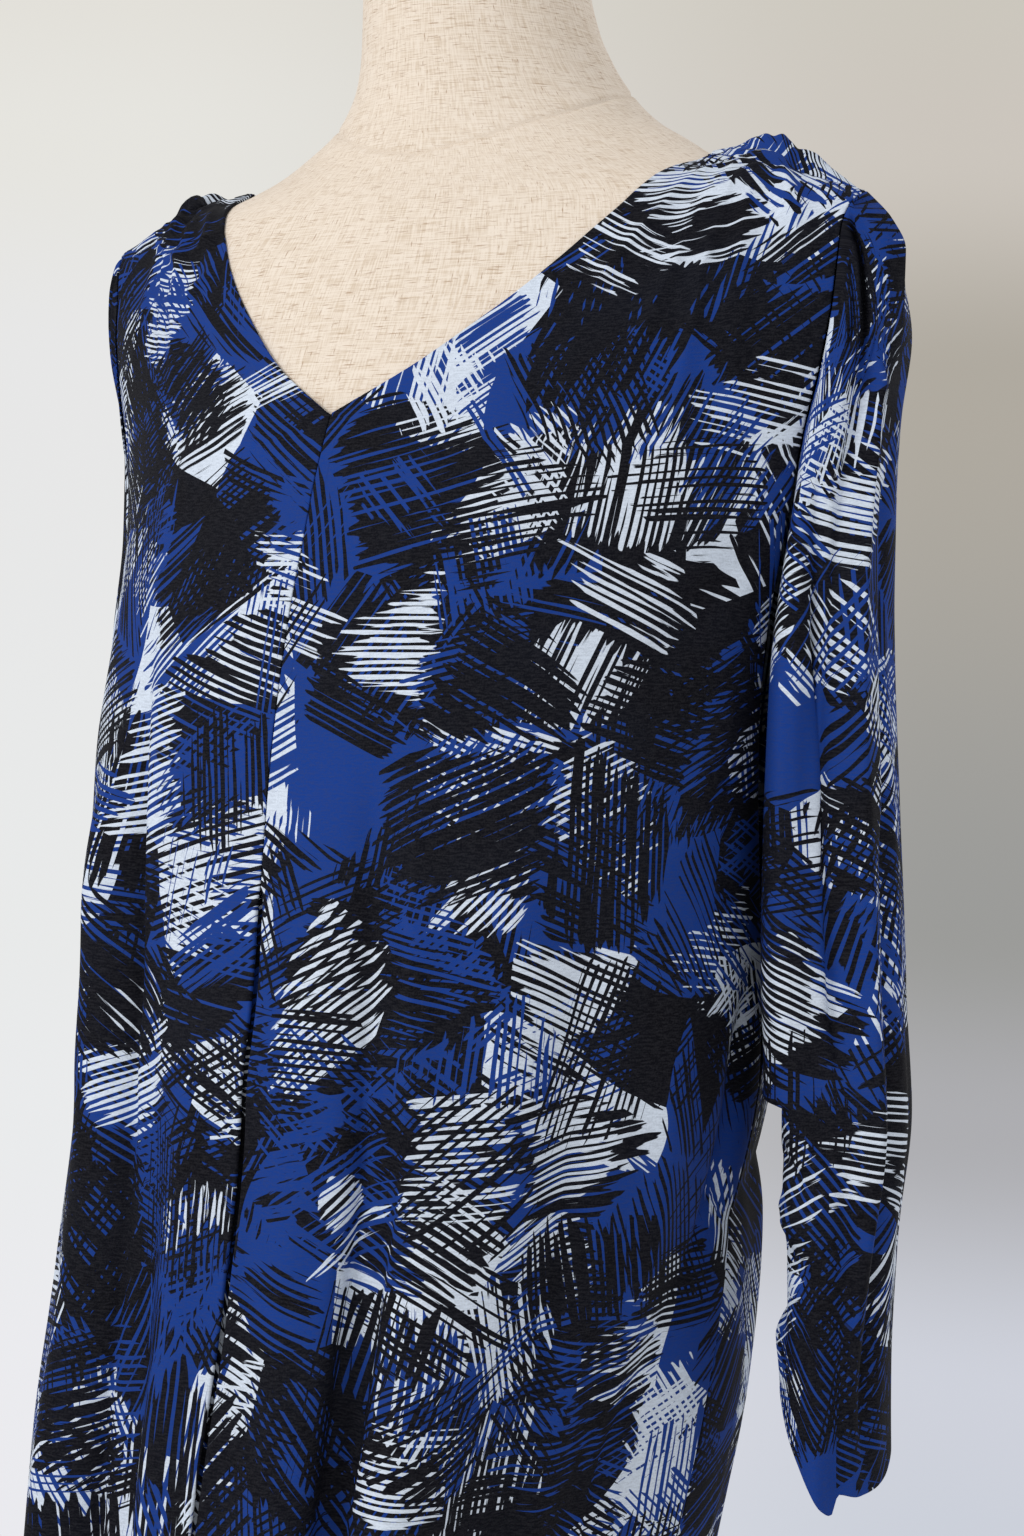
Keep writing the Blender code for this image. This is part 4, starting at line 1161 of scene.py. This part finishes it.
def brushwork(s, place, strokes):
    """Where dry brush strokes lie: patches of them, each in its own direction, more or less dense."""
    moved = s.vector("ADD", place, (strokes.shift, 0.7 * strokes.shift, 0))
    drift = s.drift(moved, 9)
    (turn, density, chosen), border = patches(s, s.drifted(moved, drift, STROKE_BEND), strokes.size)
    swept = {"Vector": s.drifted(moved, drift, STROKE_SWEEP), "Angle": s.times(turn, 2 * math.pi)}
    turned = s.node("ShaderNodeVectorRotate", swept, rotation_type="Z_AXIS").outputs[0]
    across, along, _ = s.parts(turned)
    lines = s.calc("SINE", s.times(across, 2 * math.pi / strokes.spacing))
    streak = s.streaks(across, along, 1.15 / strokes.spacing, 12.0, s.times(turn, 50.0))
    dry = s.streaks(across, along, 1600.0, 55.0)
    # Each stroke ends at its own distance from the patch's border.
    end = s.between(s.streaks(across, density, 0.9 / strokes.spacing, 37.0), 0.32, 0.68)
    inside = s.calc("SUBTRACT", border, s.times_plus(end, *STROKE_END))
    even, chance, shift = STROKE_SHAPE
    level = s.times_plus(lines, even, s.times_plus(streak, chance, shift))
    dryness = s.times_plus(s.between(inside, 0.0, STROKE_FADE), *STROKE_DRYNESS)
    level = s.times_plus(s.calc("SUBTRACT", dry, 0.5), dryness, level)
    limit = s.times_plus(density, strokes.least - strokes.most, strokes.most)
    drawn = s.between(s.calc("SUBTRACT", level, limit), 0.0, 0.03)
    within = s.between(inside, 0.0, 0.0006)
    present = s.calc("LESS_THAN", chosen, strokes.share)
    return s.times(s.times(drawn, within), present)


def print_cloth():
    """Crepe with a print of brush-hatched patches, black and cobalt on white."""
    s = Surface("print_cloth")
    place = s.node("ShaderNodeUVMap", {}, uv_map="cloth").outputs[0]
    (first, second, _), _ = patches(s, s.drifted(place, s.drift(place, 8), GROUND_BEND), GROUND_PATCH)
    colour = s.blend(s.calc("LESS_THAN", first, COBALT_SHARE), WHITE, COBALT)
    colour = s.blend(s.calc("LESS_THAN", second, BLACK_SHARE), colour, BLACK)
    for strokes in STROKES:
        colour = s.blend(brushwork(s, place, strokes), colour, strokes.ink)
    x, y, _ = s.parts(place)
    # Crepe: fine ribs across, broken up, and soft clouds of shade.
    ribs = s.streaks(x, y, 240.0, 1050.0)
    grain = s.noise(place, 1200, 1.0)
    shade = s.between(s.times_plus(grain, 0.8, ribs), 0.74, 1.14)
    clouds = s.between(s.noise(place, 22, 2.0), 0.35, 0.75)
    colour = s.blend(s.times(shade, 0.20), colour, CREPE_SHADE)
    colour = s.blend(s.times(clouds, 0.08), colour, CLOUD_SHADE)
    s.shade({"Base Color": colour, "Roughness": s.times_plus(ribs, 0.20, 0.66), "Specular IOR Level": 0.06})
    # The line of the centre seam's allowance, pressed through on the wearer's left.
    u0, v0 = PRINT_SHIFT["front_left"]
    away = s.calc("ABSOLUTE", s.calc("SUBTRACT", x, u0 + SEAM_ALLOWANCE))
    pressed = s.between(away, 0.0011, 0.0003)
    sewn = s.times(*(s.between(y, v0 + none, v0 + whole) for none, whole in PRESSED_ENDS))
    height = s.times_plus(s.times(pressed, sewn), -1.6, s.times_plus(grain, 0.5, ribs))
    s.relief(height, 0.34, 0.0005)
    return s.material


def linen():
    """Cream linen: two crossing sets of threads, each thread a little different, with brown slubs."""
    s = Surface("linen")
    place = s.node("ShaderNodeUVMap", {}, uv_map="cloth").outputs[0]
    x, y, _ = s.parts(place)
    wobble = s.noise(place, 35, 2.0)
    warp, weft = (
        s.calc("SINE", s.times(s.times_plus(wobble, reach, way), 2 * math.pi / THREAD))
        for way, reach in ((x, 0.0012), (y, 0.0010))
    )
    threads = s.calc("ADD", s.streaks(x, y, 1450.0, 80.0), s.streaks(x, y, 80.0, 1450.0))
    colour = s.blend(s.between(threads, 0.72, 1.12), LINEN_DEEP, LINEN_PALE)
    clouds = s.between(s.noise(place, 14, 2.0), 0.3, 0.7)
    colour = s.blend(s.times(clouds, 0.30), colour, LINEN_PALE)
    slubs = 0.0
    for wide, tall, shift, least in SLUBS:
        spots = s.streaks(x, y, wide, tall, shift, 1.5, 0.6)
        slubs = s.calc("MAXIMUM", s.between(spots, least, least + SLUB_BLUR), slubs)
    s.shade({
        "Base Color": s.blend(s.times(slubs, 0.80), colour, SLUB),
        "Roughness": s.times_plus(threads, -0.10, 0.95), "Sheen Weight": 0.10, "Specular IOR Level": 0.20,
    })
    height = s.times_plus(s.times(warp, weft), 0.25, s.times_plus(slubs, 0.8, threads))
    s.relief(height, 0.20, 0.0004)
    return s.material


def brushed_steel(name, turned):
    """Satin steel: fine scratches round a turned pole, or rings on a turned plate."""
    s = Surface(name)
    place = s.node("ShaderNodeTexCoord", {}).outputs["Object"]
    x, y, z = s.parts(place)
    radius = s.calc("SQRT", s.calc("ADD", s.times(x, x), s.times(y, y)))
    angle = s.calc("ARCTAN2", y, x)
    scratch = s.streaks(z if turned == "pole" else radius, angle, 2600.0, 1.5, detail=2.0)
    clouds = s.between(s.noise(place, 18, 2.0), 0.45, 0.75)
    colour = s.blend(s.times(clouds, 0.15), s.blend(scratch, STEEL_DEEP, STEEL_PALE), STEEL_CLOUD)
    s.shade({"Base Color": colour, "Metallic": 1.0, "Roughness": s.times_plus(scratch, 0.22, 0.24)})
    s.relief(scratch, 0.12, 0.0002)
    return s.material


# The dress form.

TORSO_THREADS, NECK_THREADS = 0.13, 0.058  # radius by which the cloth's places run round each
END_RINGS = (0.02, 0.25, 0.5, 0.75, 0.93)  # shares of the way out to the edge of a flat end
FORM_ROWS = 230
FORM_COLUMNS = 200
# The seam round the neck: degrees from the front, and its height there.
NECK_SEAM = [(0, 0.005), (17, 0.011), (34, 0.020), (74, 0.037), (110, 0.045), (180, 0.048)]
SEAM_DIP = 0.0013
SEAM_DIP_WIDTH = 0.0010
SEAM_ROWS = 90  # more rows where the seam runs


def make_form(surface):
    """The linen torso and neck, with the neck's seam, and flat ends that are turned over."""
    margin = 3 * SEAM_DIP_WIDTH
    close = np.linspace(NECK_SEAM[0][1] - margin, NECK_SEAM[-1][1] + margin, SEAM_ROWS)
    wide = np.linspace(FORM[0].height, FORM[-1].height, FORM_ROWS)
    apart = (wide < close.min() - SEAM_DIP_WIDTH) | (wide > close.max() + SEAM_DIP_WIDTH)
    heights = np.sort(np.concatenate([wide[apart], close]))
    turn = np.linspace(0, 2 * math.pi, FORM_COLUMNS, endpoint=False)
    h, t = heights[:, None], turn[None, :]
    power = 2 / form.fullness(h)
    x = form.half_width(h) * np.sign(np.cos(t)) * np.abs(np.cos(t)) ** power
    depth = np.where(np.sin(t) < 0, form.ridge(h) - form.front(h), form.back(h) - form.ridge(h))
    y = form.ridge(h) + depth * np.sign(np.sin(t)) * np.abs(np.sin(t)) ** power
    grid = np.stack([x, y, np.broadcast_to(h, x.shape)], axis=-1)
    closed_grid = np.concatenate([grid[:, -1:], grid, grid[:, :1]], axis=1)
    normal = normals_of(closed_grid, 1)[:, 1:-1]
    from_front = np.degrees(np.arccos(np.clip(-np.sin(turn), -1, 1)))
    seam = np.interp(from_front, *zip(*NECK_SEAM))
    away = (grid[..., 2] - seam) / SEAM_DIP_WIDTH
    grid = grid - normal * (SEAM_DIP * np.exp(-(away**2)))[..., None]
    ends = []
    for edge, centre in ((grid[0], FORM[0]), (grid[-1], FORM[-1])):
        middle = np.array([0, centre.ridge, centre.height])
        ends.append([middle + (edge - middle) * share for share in END_RINGS])
    grid = np.concatenate([np.array(ends[0]), grid, np.array(ends[1])[::-1]])
    rows, columns = grid.shape[:2]
    # One column more for the cloth places, so that they don't run back at the seam.
    wide = np.concatenate([grid, grid[:, :1]], axis=1)
    # The neck is cut apart from the torso, so the threads start afresh over its seam.
    reach = np.where(wide[..., 2] > np.append(seam, seam[0]), NECK_THREADS, TORSO_THREADS)
    around = np.linspace(0, 2 * math.pi, columns + 1) * reach
    up = np.cumsum(np.concatenate([[0], np.linalg.norm(np.diff(grid[:, 0], axis=0), axis=1)]))
    places = np.stack([around, np.broadcast_to(up[:, None], around.shape)], axis=-1).reshape(-1, 2)
    # The small hole that each end's rows leave is closed by a strip of faces across it.
    half = np.arange(columns // 2 - 1)
    bottom = np.stack([columns - 1 - half, columns - 2 - half, half + 1, half], axis=-1)
    top = bottom[:, ::-1] + (rows - 1) * (columns + 1)
    faces = np.concatenate([grid_faces(rows, columns + 1), top, bottom])
    welds = np.arange(rows * (columns + 1)).reshape(rows, columns + 1)
    welds[:, -1] = welds[:, 0]
    made = mesh_object("form_linen", wide.reshape(-1, 3), faces, places, True, surface, welds.ravel())
    made.data.set_sharp_from_angle(angle=math.radians(50))
    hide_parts("form_torso")


# The stage, the lights and the camera.

CAMERA_PLACE = Vector((0.687, -1.153, 0.573))
CAMERA_YAW = 29.8
CAMERA_PITCH = -2.5
CAMERA_ROLL = 0.76
FOCAL_PIXELS = 2722
FRAME_HEIGHT = 1536
SENSOR = 36.0
WALL_HEIGHTS = (-0.32, -0.26, -0.17, -0.10, 0.10, 0.18, 0.24)  # sine of the angle over the horizon
WALL_PALE = (
    (0.82, 0.82, 0.86), (0.83, 0.83, 0.86), (0.82, 0.83, 0.84), (0.81, 0.82, 0.82),
    (0.80, 0.80, 0.80), (0.79, 0.78, 0.74), (0.76, 0.74, 0.69),
)
# The wall's painted shade: darker colours for its right side, as if the light from the left fell off there,
# darkest in a band half way up.
WALL_PAINTED_SHADE = (
    (0.60, 0.63, 0.70), (0.62, 0.64, 0.71), (0.42, 0.42, 0.44), (0.33, 0.33, 0.32),
    (0.43, 0.40, 0.35), (0.60, 0.56, 0.51), (0.60, 0.57, 0.51),
)
WALL_EDGES = (-0.14, 0.16)  # sine of the angle to the right of the camera where it begins and ends to darken
SOFT_LIGHT = 0.70

# Each light's name, place, size, power and colour; all of them point at LIT_PLACE.
LIGHTS = (
    ("key", (-1.0, -2.6, 1.55), 1.2, 36, (1.0, 0.985, 0.965)),
    ("fill", (2.6, -1.6, 1.2), 2.2, 7, (0.96, 0.98, 1.0)),
    ("back", (0.5, 2.6, 2.0), 1.8, 8, (1.0, 1.0, 1.0)),
)
LIT_PLACE = Vector((0, 0, 0.5))
SOFT_COLOUR = (0.99, 0.98, 0.97, 1)
FLOOR_RADIUS = 0.42
FLOOR_DEEP, FLOOR_PALE = (0.78, 0.77, 0.75, 1), (0.82, 0.81, 0.79, 1)


def make_camera():
    yaw, pitch, roll = (math.radians(a) for a in (CAMERA_YAW, CAMERA_PITCH, CAMERA_ROLL))
    ahead = Vector((-math.sin(yaw) * math.cos(pitch), math.cos(yaw) * math.cos(pitch), math.sin(pitch)))
    right = Vector((math.cos(yaw), math.sin(yaw), 0))
    up = right.cross(ahead)
    across = right * math.cos(roll) + up * math.sin(roll)
    upright = up * math.cos(roll) - right * math.sin(roll)
    camera = bpy.data.cameras.new("camera")
    camera.sensor_fit = "VERTICAL"
    camera.sensor_height = camera.sensor_width = SENSOR
    camera.lens = SENSOR * FOCAL_PIXELS / FRAME_HEIGHT
    made = placed("camera", camera)
    turned = Matrix((across, upright, -ahead)).transposed()
    made.matrix_world = Matrix.Translation(CAMERA_PLACE) @ turned.to_4x4()
    bpy.context.scene.camera = made


def area_light(name, place, size, power, colour):
    light = bpy.data.lights.new(name, "AREA")
    light.shape = "DISK"
    light.size = size
    light.energy = power
    light.color = colour
    made = placed(name, light)
    made.location = place
    made.rotation_mode = "QUATERNION"
    made.rotation_quaternion = (LIT_PLACE - Vector(place)).to_track_quat("-Z", "Y")


def make_stage():
    mesh = bpy.data.meshes.new("floor")
    turn = np.linspace(0, 2 * math.pi, 96, endpoint=False)
    ring = [(FLOOR_RADIUS * math.cos(t), FLOOR_RADIUS * math.sin(t), 0) for t in turn]
    mesh.from_pydata(ring, [], [tuple(range(len(ring)))])
    s = Surface("floor")
    grain = s.noise(s.node("ShaderNodeTexCoord", {}).outputs["Object"], 60, 2.0)
    s.shade({"Base Color": s.blend(grain, FLOOR_DEEP, FLOOR_PALE), "Roughness": 0.9})
    mesh.materials.append(s.material)
    placed("floor", mesh)


def make_light():
    """A studio wall that only the camera sees, pale on the left, with painted shade on the right that is
    darkest half way up.
    """
    world = bpy.data.worlds.new("studio")
    world.use_nodes = True
    n = Nodes(world.node_tree)
    direction = n.node("ShaderNodeTexCoord", {}).outputs["Generated"]
    yaw = math.radians(CAMERA_YAW)

    def ramp_along(way, places, colours):
        along = n.node("ShaderNodeVectorMath", {0: direction, 1: way}, operation="DOT_PRODUCT")
        ramp = n.node("ShaderNodeValToRGB", {0: n.between(along.outputs["Value"], places[0], places[-1])})
        ramp.color_ramp.interpolation = "EASE"
        stops = ramp.color_ramp.elements
        while len(stops) < len(places):
            stops.new(0.5)
        for stop, place, colour in zip(stops, places, colours):
            stop.position = (place - places[0]) / (places[-1] - places[0])
            stop.color = (*colour, 1)
        return ramp.outputs[0]

    pale = ramp_along((0, 0, 1), WALL_HEIGHTS, WALL_PALE)
    # Painted shade on the wall: the darker colours are blended in towards the right of the camera.
    dark = ramp_along((0, 0, 1), WALL_HEIGHTS, WALL_PAINTED_SHADE)
    share = ramp_along((math.cos(yaw), math.sin(yaw), 0), WALL_EDGES, ((0, 0, 0), (1, 1, 1)))
    seen = n.node("ShaderNodeBackground", {"Color": n.blend(share, pale, dark)}).outputs[0]
    soft = n.tree.nodes["Background"]
    n.feed(soft.inputs["Color"], SOFT_COLOUR)
    n.feed(soft.inputs["Strength"], SOFT_LIGHT)
    camera_ray = n.node("ShaderNodeLightPath", {}).outputs["Is Camera Ray"]
    both = n.node("ShaderNodeMixShader", {0: camera_ray, 1: soft.outputs[0], 2: seen})
    n.feed(n.tree.nodes["World Output"].inputs["Surface"], both.outputs[0])
    bpy.context.scene.world = world
    for light in LIGHTS:
        area_light(*light)
    bpy.context.scene.view_settings.view_transform = "Standard"


printed = print_cloth()
make_front(1, "front_left", printed)
make_front(-1, "front_right", printed)
make_back(printed)
make_sleeve(1, "sleeve_left", printed)
make_sleeve(-1, "sleeve_right", printed)
make_form(linen())
for node, turned in (("form_pole", "pole"), ("form_base", "plate")):
    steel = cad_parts[node]
    steel.data.materials.clear()
    steel.data.materials.append(brushed_steel(node + "_steel", turned))

make_stage()
make_light()
make_camera()
